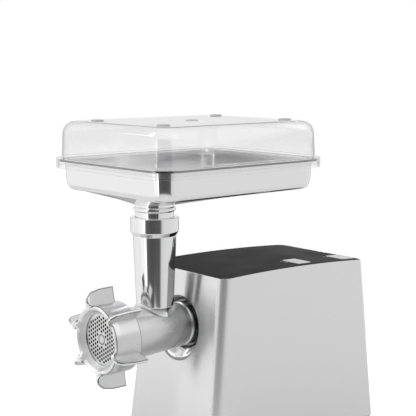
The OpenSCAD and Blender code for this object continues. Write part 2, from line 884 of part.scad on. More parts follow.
module rear_motor_bearing() {
  color("#a8abae") disc_at(axis_m, bracket_y + 0.1, bearing_w - 1.2, bearing_r, motor_r + play);
}

slot_n = 12;

module armature_core() {
  color("#6f7275")
  translate([axis_m[0], stack_y + stack_l, axis_m[1]]) rotate([90, 0, 0]) linear_extrude(stack_l) difference() {
    circle(core_r, $fn = 96);
    circle(motor_r + play, $fn = 48);
    for (i = [0:slot_n - 1]) rotate(360 * i / slot_n) {
      translate([9.5, -2.2]) square([8.2, 4.4]);
      translate([15, -1]) square([8, 2]);
    }
  }
}

module armature_windings() {
  color("#b5652a")
  translate([axis_m[0], 0, axis_m[1]]) {
    for (y = [stack_y - wind_l - 0.1, stack_y + stack_l + 0.1])
      translate([0, y + wind_l, 0]) rotate([90, 0, 0]) rotate_extrude($fn = 64)
        polygon([[6, 0], [17.5, 0], [18, 3], [17, 7.5], [15, wind_l], [6, wind_l]]);
    for (i = [0:slot_n - 1]) translate([0, stack_y + stack_l + 0.2, 0]) rotate([90, 360 * i / slot_n, 0])
      translate([10, -1.9, 0]) cube([7.2, 3.8, stack_l + 0.4]);
  }
}

module commutator() {
  color("#c07a3a")
  translate([axis_m[0], comm_y + comm_l, axis_m[1]]) rotate([90, 0, 0]) linear_extrude(comm_l) difference() {
    circle(comm_r, $fn = 96);
    circle(motor_r + play, $fn = 48);
    for (i = [0:23]) rotate(15 * i) translate([comm_r - 1, -0.25]) square([2, 0.5]);
  }
}

module cooling_fan() {
  blades = 9;
  color("#303033") {
    disc_at(axis_m, fan_y, 2, fan_r, motor_r + play);
    disc_at(axis_m, fan_y, fan_w, fan_hub_r, motor_r + play);
    translate([axis_m[0], fan_y + fan_w, axis_m[1]]) rotate([90, 0, 0]) linear_extrude(fan_w - 1)
      for (i = [0:blades - 1]) rotate(360 * i / blades) translate([fan_hub_r - 1, -0.8]) rotate(18) square([fan_r - fan_hub_r, 1.6]);
  }
}

module motor_ring(y, w) {
  upright(y, w) translate(axis_m) children();
}

// Coil windows beside the poles; the pole tips are horns round the armature
window_x = stator_r - 7.5;
window_z = core_r - 1.5;
horn_z = core_r - 13;
horn_t = 3;

module stator_core() {
  color("#7b7e81")
  motor_ring(stack_y, stack_l) difference() {
    intersection() {
      circle(stator_r, $fn = 128);
      square([2 * stator_r - 8, 2 * stator_r], center = true);
    }
    circle(core_r + air, $fn = 96);
    square([2 * window_x, 2 * horn_z], center = true);
    difference() {
      square([2 * window_x, 2 * window_z], center = true);
      circle(core_r + air + horn_t, $fn = 96);
    }
    for (p = bolt_places) translate(p) circle(bolt_r + 0.1, $fn = small_fn);
  }
}

// One coil round each pole: straight sides in the windows and flat ends past the stack
module field_coils() {
  over = 8;
  z_low = horn_z + 1;
  color("#b5652a")
  for (z = [-1, 1]) {
    motor_ring(stack_y - over, stack_l + 2 * over) coil_band(z, z_low, window_z - gap);
    for (y = [stack_y - over, stack_y + stack_l + 0.2]) motor_ring(y, over - 0.2) coil_band(z, z_low, core_r + 8);
  }
}

// Band between two heights above or below the axis, clear of the armature, bolts and spacer rings
module coil_band(side, z1, z2) {
  intersection() {
    difference() {
      circle(bolt_r_in - 0.5, $fn = 96);
      circle(core_r + air + horn_t + gap, $fn = 96);
    }
    translate([0, side * (z1 + z2) / 2]) square([2 * window_x - 2 * gap, z2 - z1], center = true);
  }
}

module bracket_2d(r) {
  difference() {
    intersection() {
      circle(stator_r, $fn = 128);
      square([2 * stator_r - 8, 2 * stator_r], center = true);
    }
    circle(r, $fn = 64);
    for (p = bolt_places) translate(p) circle(bolt_r + 0.1, $fn = small_fn);
  }
}

// Front bracket: plate behind the fan and four legs to the gearbox cover
module motor_front_bracket() {
  color("#4a4a4d") {
    motor_ring(stack_y - 12, 3.5) bracket_2d(16);
    difference() {
      motor_ring(cover_y + cover_t + 0.1, stack_y - 12 - cover_y - cover_t + 3.3) difference() {
        circle(stator_r, $fn = 128);
        circle(stator_r - 3.5, $fn = 128);
        square([2 * stator_r, 2 * stator_r - 30], center = true);
      }
      upright(cover_y - 1, cover_t + 5) for (p = case_screws) translate(p) circle(5.2);
      motor_ring(stack_y - 13, 6) for (p = bolt_places) translate(p) circle(bolt_r + 0.1, $fn = small_fn);
    }
    motor_ring(stack_y - 12, 11.9) difference() {
      bracket_2d(rib_r);
      square([2 * stator_r, leg_gap], center = true);
    }
  }
}

module motor_rear_bracket() {
  color("#4a4a4d") {
    motor_ring(bracket_y, bracket_t) difference() {
      bracket_2d(bearing_r + play);
      for (x = [-1, 1]) translate([x * vent_x, 0]) square([vent_w, vent_h], center = true);
    }
    motor_ring(bracket_y + bracket_t - eps, 1.5) difference() {
      circle(bearing_r + 3);
      circle(motor_r + 1.5);
    }
    motor_ring(stack_y + stack_l + 0.1, bracket_y - stack_y - stack_l) difference() {
      bracket_2d(rib_r);
      square([2 * stator_r, leg_gap], center = true);
    }
  }
}

module motor_bolts() {
  color("silver")
  for (b = bolt_places) {
    p = axis_m + b;
    disc_at(p, stack_y - 11, bracket_y + bracket_t - stack_y + 11 + 0.1, bolt_r);
    disc_at(p, bracket_y + bracket_t + 0.05, 3, 3.6);
  }
}

module brush_holders() {
  y = comm_y + comm_l / 2;
  color("#b08d57")
  for (x = [-1, 1]) translate([axis_m[0] + x * (comm_r + 1 + 9), y, axis_m[1]]) {
    difference() {
      cube([18, 10, 8], center = true);
      cube([20, 7.2, 5.2], center = true);
    }
    translate([-3, 5 - eps, -4]) cube([6, bracket_y - y - 5 - 0.05, 8]);
  }
}

module carbon_brushes() {
  y = comm_y + comm_l / 2;
  color("#2b2b2b")
  for (x = [-1, 1]) translate([axis_m[0] + x * (comm_r + gap + 7), y, axis_m[1]]) cube([14, 7, 5], center = true);
}

// Outline of the feed tube, radius against height above the barrel's axis
module feed_tube() {
  z1 = tube_h - collar_h;
  translate([0, -tube_s, z_axis]) rotate_extrude($fn = 96)
    polygon([[0, 4], [tube_r2 + 0.4, 4], [tube_r2, 24], [tube_r1, z1 - 4.4], [tube_r1 + 0.5, z1 - 4],
             [collar_r, z1], [collar_r, tube_h - 1], [collar_r - 1, tube_h], [0, tube_h]]);
}

module tube_bore() {
  z1 = tube_h - neck_drop - gap;
  translate([0, -tube_s, z_axis]) rotate_extrude($fn = 96)
    polygon([[0, 0], [tube_r2 - tube_wall, 0], [tube_r2 - tube_wall, 24], [tube_r1 - tube_wall - 2, z1],
             [tray_r + gap, z1], [tray_r + gap, tube_h + 1], [0, tube_h + 1]]);
}

module grinder_head() {
  back = frame_y + frame_t - 1;
  color("#b9bbbd")
  difference() {
    union() {
      on_barrel() rotate_extrude($fn = 128)
        polygon([[0, -back], [neck_r, -back], [neck_r, 2.4], [barrel_r2 - 0.5, 2.4], [barrel_r2 - 0.3, 5.4],
                 [barrel_r2 - 1.4, 6.4], [barrel_r2 - 1.4, 8], [barrel_r2 - 0.6, 9], [barrel_r2, s_rear + 1],
                 [barrel_r1, ring_rear - 4], [thread_r - 1.6, ring_rear - 1], [thread_r - 1.6, ring_rear + 2],
                 [thread_r, ring_rear + 3], [thread_r, s_face - 1.4], [0, s_face - 1.4]]);
      feed_tube();
      for (i = [0:2]) on_barrel() rotate(lug_step * i + 90)
        translate([0, 0, -frame_y - frame_t + 3.3]) linear_extrude(4.2) intersection() {
          difference() {
            circle(lug_r);
            circle(neck_r - 1);
          }
          sector(lug_a, 40);
        }
    }
    on_barrel() rotate_extrude($fn = 128)
      polygon([[0, -back + 14], [bore_r2, -back + 14], [bore_r2, s_rear + 2], [bore_r1, s_plate - 6],
               [bore_r1, s_plate - gap], [plate_seat_r, s_plate - gap], [plate_seat_r, s_face], [0, s_face]]);
    on_barrel() translate([0, 0, -back - 1]) cylinder(h = 10, r = 14);
    on_barrel() translate([0, 0, -back - 1]) cylinder(h = 20, r = journal_r + 2.5 + play);
    tube_bore();
    on_barrel() rotate(90) translate([plate_seat_r - 1, -2, s_plate - gap]) cube([3, 4, 20]);
  }
}

module head_bush() {
  back = frame_y + frame_t - 1;
  color("#b08d57")
  on_barrel() translate([0, 0, -back + 9.1]) difference() {
    cylinder(h = 4.8, r = journal_r + 2.5);
    translate([0, 0, -1]) cylinder(h = 8, r = journal_r + play);
  }
}

// Screw flight: a tapered ridge along a helix whose pitch opens towards the drive end
module flight(s1, s2, r1, r2, root, turns) {
  steps = turns * 20;
  sweep([for (i = [0:steps]) let (u = i / steps, a = 360 * turns * u, s = s1 + (s2 - s1) * pow(u, 0.85),
                                  tip = r1 + (r2 - r1) * u)
         [for (p = [[root, 3.2], [tip - 1, 1.4], [tip, 1], [tip, -1], [tip - 1, -1.4], [root, -3.2]])
          [p[0] * cos(a), p[0] * sin(a), s + p[1]]]]);
}

module auger() {
  back = frame_y + frame_t - 1;
  s1 = -back + 14.6;
  s2 = s_plate - 12;
  color("#c4c6c8")
  on_barrel() {
    flight(s1 + 4, s2 - 4, auger_r2, auger_r1, 8, auger_turns);
    translate([0, 0, s1]) cylinder(h = s2 - s1, r1 = 12.5, r2 = 9.5);
    translate([0, 0, gap - socket_y]) cylinder(h = s1 + socket_y, r = journal_r);
    translate([0, 0, -shank_y]) rotate(30) cylinder(h = shank_y, r = hex_af / 2 / cos(30), $fn = 6);
    translate([0, 0, s2 - eps]) translate([-4.5, -4.5, 0]) cube([9, 9, s_plate - s2 - 0.2]);
    translate([0, 0, s_plate - 0.3]) cylinder(h = plate_t + 0.3, r = pin_r);
  }
}

module thrust_washer() {
  back = frame_y + frame_t - 1;
  color("#e8e6df")
  on_barrel() translate([0, 0, -back + 14.1]) difference() {
    cylinder(h = 0.45, r = 12);
    translate([0, 0, -1]) cylinder(h = 3, r = journal_r + play);
  }
}

module knife() {
  color("#d5d7d9")
  on_barrel() translate([0, 0, s_plate - 10.3]) difference() {
    union() {
      cylinder(h = 10, r = 8.5);
      for (i = [0:blade_count - 1]) rotate(360 * i / blade_count)
        rotate([90, 0, 90]) linear_extrude(bore_r1 - 1.6)
          polygon([[-3.5, 3.5], [2.4, 3], [4.4, 10], [-1.2, 10]]);
    }
    translate([-4.55, -4.55, -1]) cube([9.1, 9.1, 12]);
  }
}

field_r = mouth_r - 2.3;
blank_r = 5.8;

module hole_plate() {
  row = hole_pitch * 0.866;
  n = ceil(field_r / row);
  color("#c2c4c6")
  on_barrel() translate([0, 0, s_plate]) difference() {
    cylinder(h = plate_t, r = plate_r, $fn = 128);
    translate([0, 0, -1]) cylinder(h = plate_t + 2, r = pin_r + 0.1, $fn = 48);
    for (i = [-n:n], j = [-n - 1:n + 1]) {
      p = [i * row, (j + (i % 2 == 0 ? 0 : 0.5)) * hole_pitch];
      if (norm(p) < field_r - hole_r + 0.8 && norm(p) > blank_r + hole_r)
        translate([p[0], p[1], -1]) cylinder(h = plate_t + 2, r = hole_r, $fn = 16);
    }
    rotate(90) translate([plate_r - 1.6, -2, -1]) cube([3, 4, plate_t + 2]);
  }
}

module plate_key() {
  color("silver")
  on_barrel() rotate(90) translate([plate_r - 1.45, -1.85, s_plate]) cube([2.6, 3.7, plate_t - 1.6]);
}

// Side view of one wing: radius against place along the barrel
module wing_2d() {
  tip = wing_r;
  front = s_wing;
  bend = 13;
  polygon(concat(
    [[ring_r - 2, ring_rear + 2], [tip - 1, ring_rear + 2], [tip, ring_rear + 3]],
    [for (i = [0:8]) let (a = 90 * i / 8) [tip - bend + bend * cos(a), front - bend + bend * sin(a) - 1.5 * (1 - sin(a))]],
    [[tip - bend - 2.5, front - 1.2], [mouth_r + 6.4, s_lip - 0.6], [mouth_r + 7, s_lip - 8]]));
}

module screw_ring() {
  color("#b4b6b8")
  on_barrel() {
    rotate_extrude($fn = 128)
      polygon([[thread_r + gap, ring_rear], [ring_r - 1, ring_rear], [ring_r, ring_rear + 1], [ring_r, s_lip - 6],
               [ring_r - 0.5, s_lip - 3], [ring_r - 1.6, s_lip - 1], [ring_r - 2.8, s_lip], [ring_r - 3.6, s_lip],
               [ring_r - 4.4, s_lip - 0.7], [mouth_r, s_face + 1], [mouth_r, s_face + gap],
               [thread_r + gap, s_face + gap]]);
    for (i = [0:wing_count - 1]) rotate(wing_turn + 360 * i / wing_count)
      rotate([90, 0, 0]) linear_extrude(wing_t, center = true) wing_2d();
  }
}

// Level slice of the tray or lid
module level_slice(w, d, r, z) {
  translate([0, tray_y, z]) linear_extrude(eps) round_rect(w, d, r);
}

tray_bend = 8;

module pan_solid(inset) {
  hull() {
    level_slice(tray_w - 2 * inset, tray_d - 2 * inset, tray_corner - inset, z_rim + (inset > 0 ? 1 : -eps));
    for (i = [0:4]) let (a = 90 * i / 4, r = tray_bend - inset, q = 1.2 + tray_bend - r * cos(a))
      level_slice(tray_w - 2 * q, tray_d - 2 * q, max(tray_corner - q + 2, 2), z_wall + tray_bend - r * sin(a));
  }
}

module funnel_solid(inset) {
  q = tray_bend + 3;
  hull() {
    level_slice(tray_w - 2 * q, tray_d - 2 * q, tray_corner - q + 2, z_wall + inset + eps);
    translate([0, -tube_s, z_neck + inset]) cylinder(h = eps, r = tray_r - inset * 0.9, $fn = 48);
  }
}

module tray() {
  color("#d9dbdd")
  difference() {
    union() {
      pan_solid(0);
      funnel_solid(0);
      translate([0, 0, z_rim - 1]) linear_extrude(1) translate([0, tray_y])
        round_rect(lid_w + 2 * flange - 2 * lid_t - 1.4, lid_d + 2 * flange - 2 * lid_t - 1.4, tray_corner + 6);
    }
    pan_solid(tray_t);
    funnel_solid(tray_t);
    translate([0, -tube_s, z_neck - 2]) cylinder(h = 8, r = tray_r + play, $fn = 96);
  }
}

// Beaded tube fixed in the tray's outlet, which plugs into the feed tube's collar
module tray_neck() {
  r_in = tray_r - 1.3;
  z1 = z_tube_top - neck_drop;
  color("#d9dbdd")
  translate([0, -tube_s, 0]) rotate_extrude($fn = 96)
    polygon([[r_in, z1], [tray_r - 0.4, z1], [tray_r, z1 + 0.6], [tray_r, z_neck - 6.6], [bead_r - 0.8, z_neck - 5.6],
             [bead_r, z_neck - 4.2], [bead_r, z_neck - 3], [bead_r - 0.8, z_neck - 1.6], [tray_r, z_neck - 0.6],
             [tray_r, z_neck + 1], [r_in, z_neck + 1]]);
}

module lid_solid(inset) {
  z2 = z_lid + lid_h - inset;
  r = lid_edge - inset;
  hull() {
    level_slice(lid_w - 2 * inset, lid_d - 2 * inset, lid_corner - inset, z_lid - (inset > 0 ? 1 : 0));
    for (i = [0:5]) let (a = 90 * i / 5, q = lid_taper + lid_edge - r * cos(a))
      level_slice(lid_w - 2 * q, lid_d - 2 * q, max(lid_corner - q + lid_taper, 3), z2 - r + r * sin(a) - eps);
  }
}

module lid() {
  fw = lid_w + 2 * flange;
  fd = lid_d + 2 * flange;
  fr = lid_corner + flange;
  color([0.85, 0.87, 0.88, 0.35])
  difference() {
    union() {
      lid_solid(0);
      translate([0, 0, z_lid]) linear_extrude(lid_t) translate([0, tray_y]) round_rect(fw, fd, fr);
      translate([0, 0, z_lid + lid_t - skirt_h]) linear_extrude(skirt_h) translate([0, tray_y]) difference() {
        round_rect(fw, fd, fr);
        round_rect(fw - 2 * lid_t, fd - 2 * lid_t, fr - lid_t);
      }
      translate([0, tray_y + peg_back, z_lid + lid_h - 1]) {
        for (x = [-1, 1], y = [-1, 1]) translate([x * peg_w / 2, y * peg_d / 2]) cylinder(h = peg_h + 1, r = peg_r, $fn = 48);
        cylinder(h = peg_h + 0.6, r = peg_r, $fn = 48);
      }
    }
    lid_solid(lid_t);
  }
}

framed() housing_shell();
framed() top_panel();
framed() control_strip();
framed() on_off_button();
framed() reverse_button();
framed() on_off_spring();
framed() reverse_spring();
framed() button_switches();
framed() switch_board();
framed() base_plate();
framed() rubber_feet();
framed() base_screws();
framed() cord_gland();
framed() power_board();
framed() throat_dish();
framed() front_frame();
framed() gearbox_case();
framed() gearbox_cover();
framed() gearbox_screws();
framed() output_bush();
framed() rear_output_bush();
framed() output_shaft();
framed() drive_socket();
framed() output_gear();
framed() second_gear();
framed() second_axle();
framed() first_gear();
framed() first_axle();
framed() motor_pinion();
framed() motor_shaft();
framed() armature_core();
framed() armature_windings();
framed() commutator();
framed() cooling_fan();
framed() front_motor_bearing();
framed() rear_motor_bearing();
framed() stator_core();
framed() field_coils();
framed() motor_front_bracket();
framed() motor_rear_bracket();
framed() motor_bolts();
framed() brush_holders();
framed() carbon_brushes();
framed() grinder_head();
framed() head_bush();
framed() auger();
framed() thrust_washer();
framed() knife();
framed() hole_plate();
framed() plate_key();
framed() screw_ring();
framed() tray();
framed() tray_neck();
framed() lid();
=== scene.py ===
"""Looks of a steel-clad electric food grinder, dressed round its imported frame.

Every size below is in the machine's millimetres: x across, y backwards from the housing's front top edge, z
up from the table. Along the barrel, s runs forwards from that edge and r outwards from the barrel's axis.
"""

import logging
import math
from dataclasses import dataclass, replace
from enum import Enum
from typing import Callable, Sequence

import bmesh
import bpy
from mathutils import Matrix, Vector


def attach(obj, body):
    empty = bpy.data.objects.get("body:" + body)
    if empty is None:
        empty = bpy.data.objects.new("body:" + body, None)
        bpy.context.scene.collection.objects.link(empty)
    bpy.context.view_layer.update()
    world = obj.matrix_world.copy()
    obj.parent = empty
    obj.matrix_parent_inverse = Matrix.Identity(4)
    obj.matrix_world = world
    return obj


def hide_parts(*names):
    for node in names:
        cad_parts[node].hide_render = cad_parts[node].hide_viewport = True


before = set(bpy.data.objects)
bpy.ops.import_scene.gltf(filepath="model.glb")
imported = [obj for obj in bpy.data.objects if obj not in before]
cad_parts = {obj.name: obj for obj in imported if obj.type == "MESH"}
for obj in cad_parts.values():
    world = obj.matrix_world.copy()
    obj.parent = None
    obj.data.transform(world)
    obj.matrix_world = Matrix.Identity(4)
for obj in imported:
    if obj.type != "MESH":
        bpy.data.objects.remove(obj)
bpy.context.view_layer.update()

LOG = logging.getLogger("grinder")

Point = tuple[float, float, float]
Flat = tuple[float, float]
Place = Callable[[float, float, float], Point]
Radius = Callable[[float], float]

MM = 0.001
Y_MID = 54.88
TAU = 2 * math.pi
SAME = 1e-6
WELD = 2e-6
SHADE_WEIGHT = 80
FLAT_LEAD = 0.8
COAT_ROUGHNESS = 0.03
MARK_DEPTH = 0.0002
LEVEL_TURN = 0.25
RIM_POWER = 3.0
ROUGH_SWING = 2
SHADE_SWING = 10
SMEAR_SCALE = 22.0
BOW_REACH = 0.02
BORE_SHADE = (0.00003, 0.0002)
BEARINGS = 1440
# Colour of the painted shade inside the plate's bores.
BORE_SHADE_COLOUR = (0.01, 0.01, 0.01, 1.0)


# Sizes shared by several pieces


@dataclass(frozen=True)
class Layout:
    """The machine's main places, the same as in the part's source."""

    z_steel: float = 8.0
    z_axis: float = 141.0
    z_front: float = 197.8
    rear_drop: float = 5.3
    crown: float = 3.0
    top_w: float = 132.8
    top_d: float = 214.0
    side_lean: float = 0.044
    front_lean: float = 0.118
    rear_lean: float = 0.08
    corner_r: float = 10.5
    tube_s: float = 37.5
    tube_top: float = 118.5
    rim_z: float = 316.5
    tray_y: float = 8.3

    def top_z(self, y: float) -> float:
        """Returns the height of the crowned top edge at y."""
        t = min(max(y / self.top_d, 0.0), 1.0)
        return self.z_front - self.rear_drop * t + 4 * self.crown * t * (1 - t)

    def half_w(self, z: float, inset: float) -> float:
        """Returns the housing's half width at height z, drawn in by inset."""
        return self.top_w / 2 + self.side_lean * (self.z_front - z) - inset

    def front_y(self, z: float, inset: float) -> float:
        """Returns the front wall's y at height z."""
        return -self.front_lean * (self.z_front - z) + inset

    def rear_y(self, z: float, inset: float) -> float:
        """Returns the rear wall's y at height z."""
        return self.top_d + self.rear_lean * (self.z_front - self.rear_drop - z) - inset


LAY = Layout()


def row(point: Point) -> Vector:
    """Returns a machine point as a vector in the row frame, in metres."""
    return Vector((point[0], point[1] - Y_MID, point[2])) * MM


def round_barrel(r: float, s: float, a: float) -> Point:
    """Returns a point at radius r and angle a round the barrel's axis, s forwards."""
    return (r * math.cos(a), -s, LAY.z_axis + r * math.sin(a))


def round_tube(r: float, h: float, a: float) -> Point:
    """Returns a point at radius r and angle a round the feed tube's axis, h above the barrel's axis."""
    return (r * math.cos(a), -LAY.tube_s + r * math.sin(a), LAY.z_axis + h)


def eased(t: float) -> float:
    """Returns t from 0 to 1 with soft ends."""
    t = min(max(t, 0.0), 1.0)
    return t * t * (3 - 2 * t)


# Mesh making


class Skin:
    """Vertices and faces of one piece, in machine millimetres."""

    def __init__(self) -> None:
        """Starts an empty skin."""
        self.points: list[Point] = []
        self.faces: list[tuple[int, ...]] = []
        self.tints: list[int] = []
        self.tint = 0

    def loop(self, points: Sequence[Point]) -> list[int]:
        """Adds points and returns their numbers."""
        first = len(self.points)
        self.points.extend(points)
        return list(range(first, len(self.points)))

    def face(self, *numbers: int) -> None:
        """Adds one face with the current finish number."""
        self.faces.append(tuple(numbers))
        self.tints.append(self.tint)

    def band(self, a: Sequence[int], b: Sequence[int], closed: bool = True) -> None:
        """Joins two rows of the same length with quads.

        Args:
            a: point numbers of one row.
            b: point numbers of the other row.
            closed: whether the rows close on themselves.
        """
        n = len(a)
        for i in range(n if closed else n - 1):
            j = (i + 1) % n
            self.face(a[i], a[j], b[j], b[i])

    def loft(
        self, loops: Sequence[Sequence[Point]], closed: bool = True, ring: bool = False
    ) -> list[list[int]]:
        """Joins rows of points one after the other.

        Args:
            loops: rows of points, all of one length.
            closed: whether each row closes on itself.
            ring: whether the last row joins the first.

        Returns:
            The point numbers of each row.
        """
        rows = [self.loop(points) for points in loops]
        for a, b in zip(rows, rows[1:]):
            self.band(a, b, closed)
        if ring:
            self.band(rows[-1], rows[0], closed)
        return rows

    def lathe(self, path: Sequence[Flat], place: Place, n: int, ring: bool = True) -> list[list[int]]:
        """Turns a path of (radius, along) points round an axis.

        Args:
            path: the points to turn.
            place: gives the place of a radius, a distance along and an angle.
            n: number of steps round.
            ring: whether the path closes on itself.

        Returns:
            The point numbers of each row.
        """
        return self.loft([[place(r, s, TAU * i / n) for i in range(n)] for r, s in path], True, ring)

    def fill(self, *loops: Sequence[int]) -> None:
        """Fills the flat region between closed loops with triangles.

        Args:
            loops: point numbers of the outline and of each hole.
        """
        bm = bmesh.new()
        made = {}
        for loop in loops:
            verts = [bm.verts.new(self.points[i]) for i in loop]
            made.update(zip(verts, loop))
            for a, b in zip(verts, verts[1:] + verts[:1]):
                bm.edges.new((a, b))
        bmesh.ops.triangle_fill(bm, use_beauty=True, use_dissolve=False, edges=bm.edges[:])
        for face in bm.faces:
            self.face(*[made[v] for v in face.verts])
        bm.free()

    def build(self, name: str, dress: "Dress", sharp: float = 32.0) -> bpy.types.Object:
        """Makes the object, gives it its finish and hangs it on its body.

        Args:
            name: the piece's name.
            dress: body, slot, finishes and the nodes that the piece replaces.
            sharp: edges that bend more than this many degrees stay crisp.

        Returns:
            The new object.
        """
        mesh = bpy.data.meshes.new(name)
        mesh.from_pydata([row(p) for p in self.points], [], self.faces)
        mesh.polygons.foreach_set("material_index", self.tints)
        bm = bmesh.new()
        bm.from_mesh(mesh)
        bmesh.ops.remove_doubles(bm, verts=bm.verts, dist=WELD)
        bmesh.ops.recalc_face_normals(bm, faces=bm.faces)
        bm.to_mesh(mesh)
        bm.free()
        mesh.shade_smooth()
        mesh.set_sharp_from_angle(angle=math.radians(sharp))
        obj = bpy.data.objects.new(name, mesh)
        bpy.context.scene.collection.objects.link(obj)
        weigh = obj.modifiers.new("even_shade", "WEIGHTED_NORMAL")
        weigh.keep_sharp = True
        weigh.weight = SHADE_WEIGHT
        dress.on(obj)
        return obj


@dataclass(frozen=True)
class Dress:
    """What a piece rides on, stands for and is finished with."""

    body: str
    slot: str
    finishes: tuple["Finish", ...]
    replaces: tuple[str, ...] = ()

    def on(self, obj: bpy.types.Object) -> None:
        """Applies the finishes, body and replaced nodes; the slot is not applied.

        Args:
            obj: the piece.
        """
        for finish in self.finishes:
            obj.data.materials.append(finish.material())
        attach(obj, self.body)
        if self.replaces:
            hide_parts(*self.replaces)
        LOG.info("piece %s on %s", obj.name, self.body)


def softened(path: Sequence[Sequence[float]], steps: int = 5, closed: bool = False) -> list[Flat]:
    """Rounds the corners of a path.

    Args:
        path: (a, b) or (a, b, radius) corners.
        steps: number of chords in each rounded corner.
        closed: whether the last corner joins the first.

    Returns:
        The path's points with arcs in place of the rounded corners.
    """
    out: list[Flat] = []
    n = len(path)
    for i, corner in enumerate(path):
        here = Vector(corner[:2])
        radius = corner[2] if len(corner) > 2 else 0.0
        if radius <= 0 or (not closed and i in (0, n - 1)):
            out.append((here.x, here.y))
            continue
        back, on = Vector(path[i - 1][:2]) - here, Vector(path[(i + 1) % n][:2]) - here
        half = back.angle(on) / 2
        reach = min(radius / math.tan(half), 0.49 * back.length, 0.49 * on.length)
        r = reach * math.tan(half)
        middle = here + (back.normalized() + on.normalized()).normalized() * (r / math.sin(half))
        a, b = here + back.normalized() * reach - middle, here + on.normalized() * reach - middle
        turn = a.angle_signed(b)
        for k in range(steps + 1):
            t = -turn * k / steps
            c, q = math.cos(t), math.sin(t)
            out.append((middle.x + a.x * c - a.y * q, middle.y + a.x * q + a.y * c))
    return out


def round_rect(
    w: float, d: float, r: float, steps: int = 8, along: Flat = (1, 1), lead: float = 0.0
) -> list[Flat]:
    """Returns a rectangle with round corners, from the upper end of its right side anticlockwise.

    Args:
        w: width.
        d: depth.
        r: corner radius.
        steps: chords in a corner.
        along: number of parts in each width side and each depth side.
        lead: distance of one more point from each end of a side, so that the side shades flat, or 0.

    Returns:
        The outline's points.
    """
    out: list[Flat] = []
    hw, hd = w / 2 - r, d / 2 - r
    for k, (cx, cy) in enumerate(((hw, hd), (-hw, hd), (-hw, -hd), (hw, -hd))):
        for i in range(steps + 1):
            a = math.pi / 2 * (k + i / steps)
            out.append((cx + r * math.cos(a), cy + r * math.sin(a)))
        parts = int(along[k % 2])
        nx, ny = ((-hw, hd), (-hw, -hd), (hw, -hd), (hw, hd))[k]
        a = math.pi / 2 * (k + 1)
        ox, oy = r * math.cos(a), r * math.sin(a)
        shares = [i / parts for i in range(1, parts)]
        if lead:
            near = lead / max(math.hypot(nx - cx, ny - cy), 2.5 * lead)
            shares = [near] + [t for t in shares if near < t < 1 - near] + [1 - near]
        for t in shares:
            out.append((cx + (nx - cx) * t + ox, cy + (ny - cy) * t + oy))
    return out


# Finishes


class Grain(Enum):
    """How a surface's fine marks run."""

    LEVEL = (14.0, 14.0, 2600.0)
    TURNED = (900.0, 900.0, 900.0)
    CAST = (700.0, 700.0, 700.0)
    FINE = (260.0, 260.0, 260.0)


class Nodes:
    """Short ways to add and join shader nodes in one tree."""

    def __init__(self, tree: bpy.types.NodeTree) -> None:
        """Keeps the tree."""
        self.tree = tree

    def add(self, kind: str, **values: object) -> bpy.types.Node:
        """Adds a node and sets its attributes, or its inputs where the name is in_NAME.

        Args:
            kind: the node's type.
            **values: attributes, and inputs with in_ before the name.

        Returns:
            The new node.
        """
        node = self.tree.nodes.new(kind)
        for key, value in values.items():
            if key.startswith("in_"):
                node.inputs[key[3:].replace("_", " ")].default_value = value
            else:
                setattr(node, key, value)
        return node

    def join(self, a: bpy.types.NodeSocket, b: bpy.types.NodeSocket) -> None:
        """Links two sockets."""
        self.tree.links.new(a, b)

    def maths(self, operation: str, a: object, b: object = 0.0) -> bpy.types.NodeSocket:
        """Adds a Math node on numbers or sockets.

        Args:
            operation: the node's operation.
            a: first number or socket.
            b: second number or socket.

        Returns:
            The node's output.
        """
        node = self.add("ShaderNodeMath", operation=operation)
        for socket, value in zip(node.inputs, (a, b)):
            if isinstance(value, bpy.types.NodeSocket):
                self.join(value, socket)
            else:
                socket.default_value = value
        return node.outputs[0]


def surface_marks() -> bpy.types.NodeTree:
    """Makes the shared group of fine marks and faint wiping smears, once.

    Returns:
        The group, with outputs Height for a bump, and Tone, which varies round 0 over the surface.
    """
    name = "surface_marks"
    if name in bpy.data.node_groups:
        return bpy.data.node_groups[name]
    group = bpy.data.node_groups.new(name, "ShaderNodeTree")
    inputs = (("Grain", "NodeSocketVector"), ("Smear", "NodeSocketFloat"), ("Fine", "NodeSocketFloat"))
    for label, kind in inputs:
        group.interface.new_socket(label, in_out="INPUT", socket_type=kind)
    for label in ("Height", "Tone"):
        group.interface.new_socket(label, in_out="OUTPUT", socket_type="NodeSocketFloat")
    kit = Nodes(group)
    given, out = kit.add("NodeGroupInput"), kit.add("NodeGroupOutput")
    place = kit.add("ShaderNodeTexCoord")
    stretch = kit.add("ShaderNodeVectorMath", operation="MULTIPLY")
    kit.join(place.outputs["Object"], stretch.inputs[0])
    kit.join(given.outputs["Grain"], stretch.inputs[1])
    fine = kit.add("ShaderNodeTexNoise", in_Scale=1.0, in_Detail=3.0, in_Roughness=0.6)
    kit.join(stretch.outputs[0], fine.inputs["Vector"])
    smear = kit.add("ShaderNodeTexNoise", in_Scale=SMEAR_SCALE, in_Detail=2.0, in_Roughness=0.5)
    kit.join(place.outputs["Object"], smear.inputs["Vector"])
    fine_centred = kit.maths("SUBTRACT", fine.outputs["Fac"], 0.5)
    fine_part = kit.maths("MULTIPLY", fine_centred, given.outputs["Fine"])
    smear_centred = kit.maths("SUBTRACT", smear.outputs["Fac"], 0.5)
    smear_part = kit.maths("MULTIPLY", smear_centred, given.outputs["Smear"])
    kit.join(fine.outputs["Fac"], out.inputs["Height"])
    kit.join(kit.maths("ADD", fine_part, smear_part), out.inputs["Tone"])
    return group


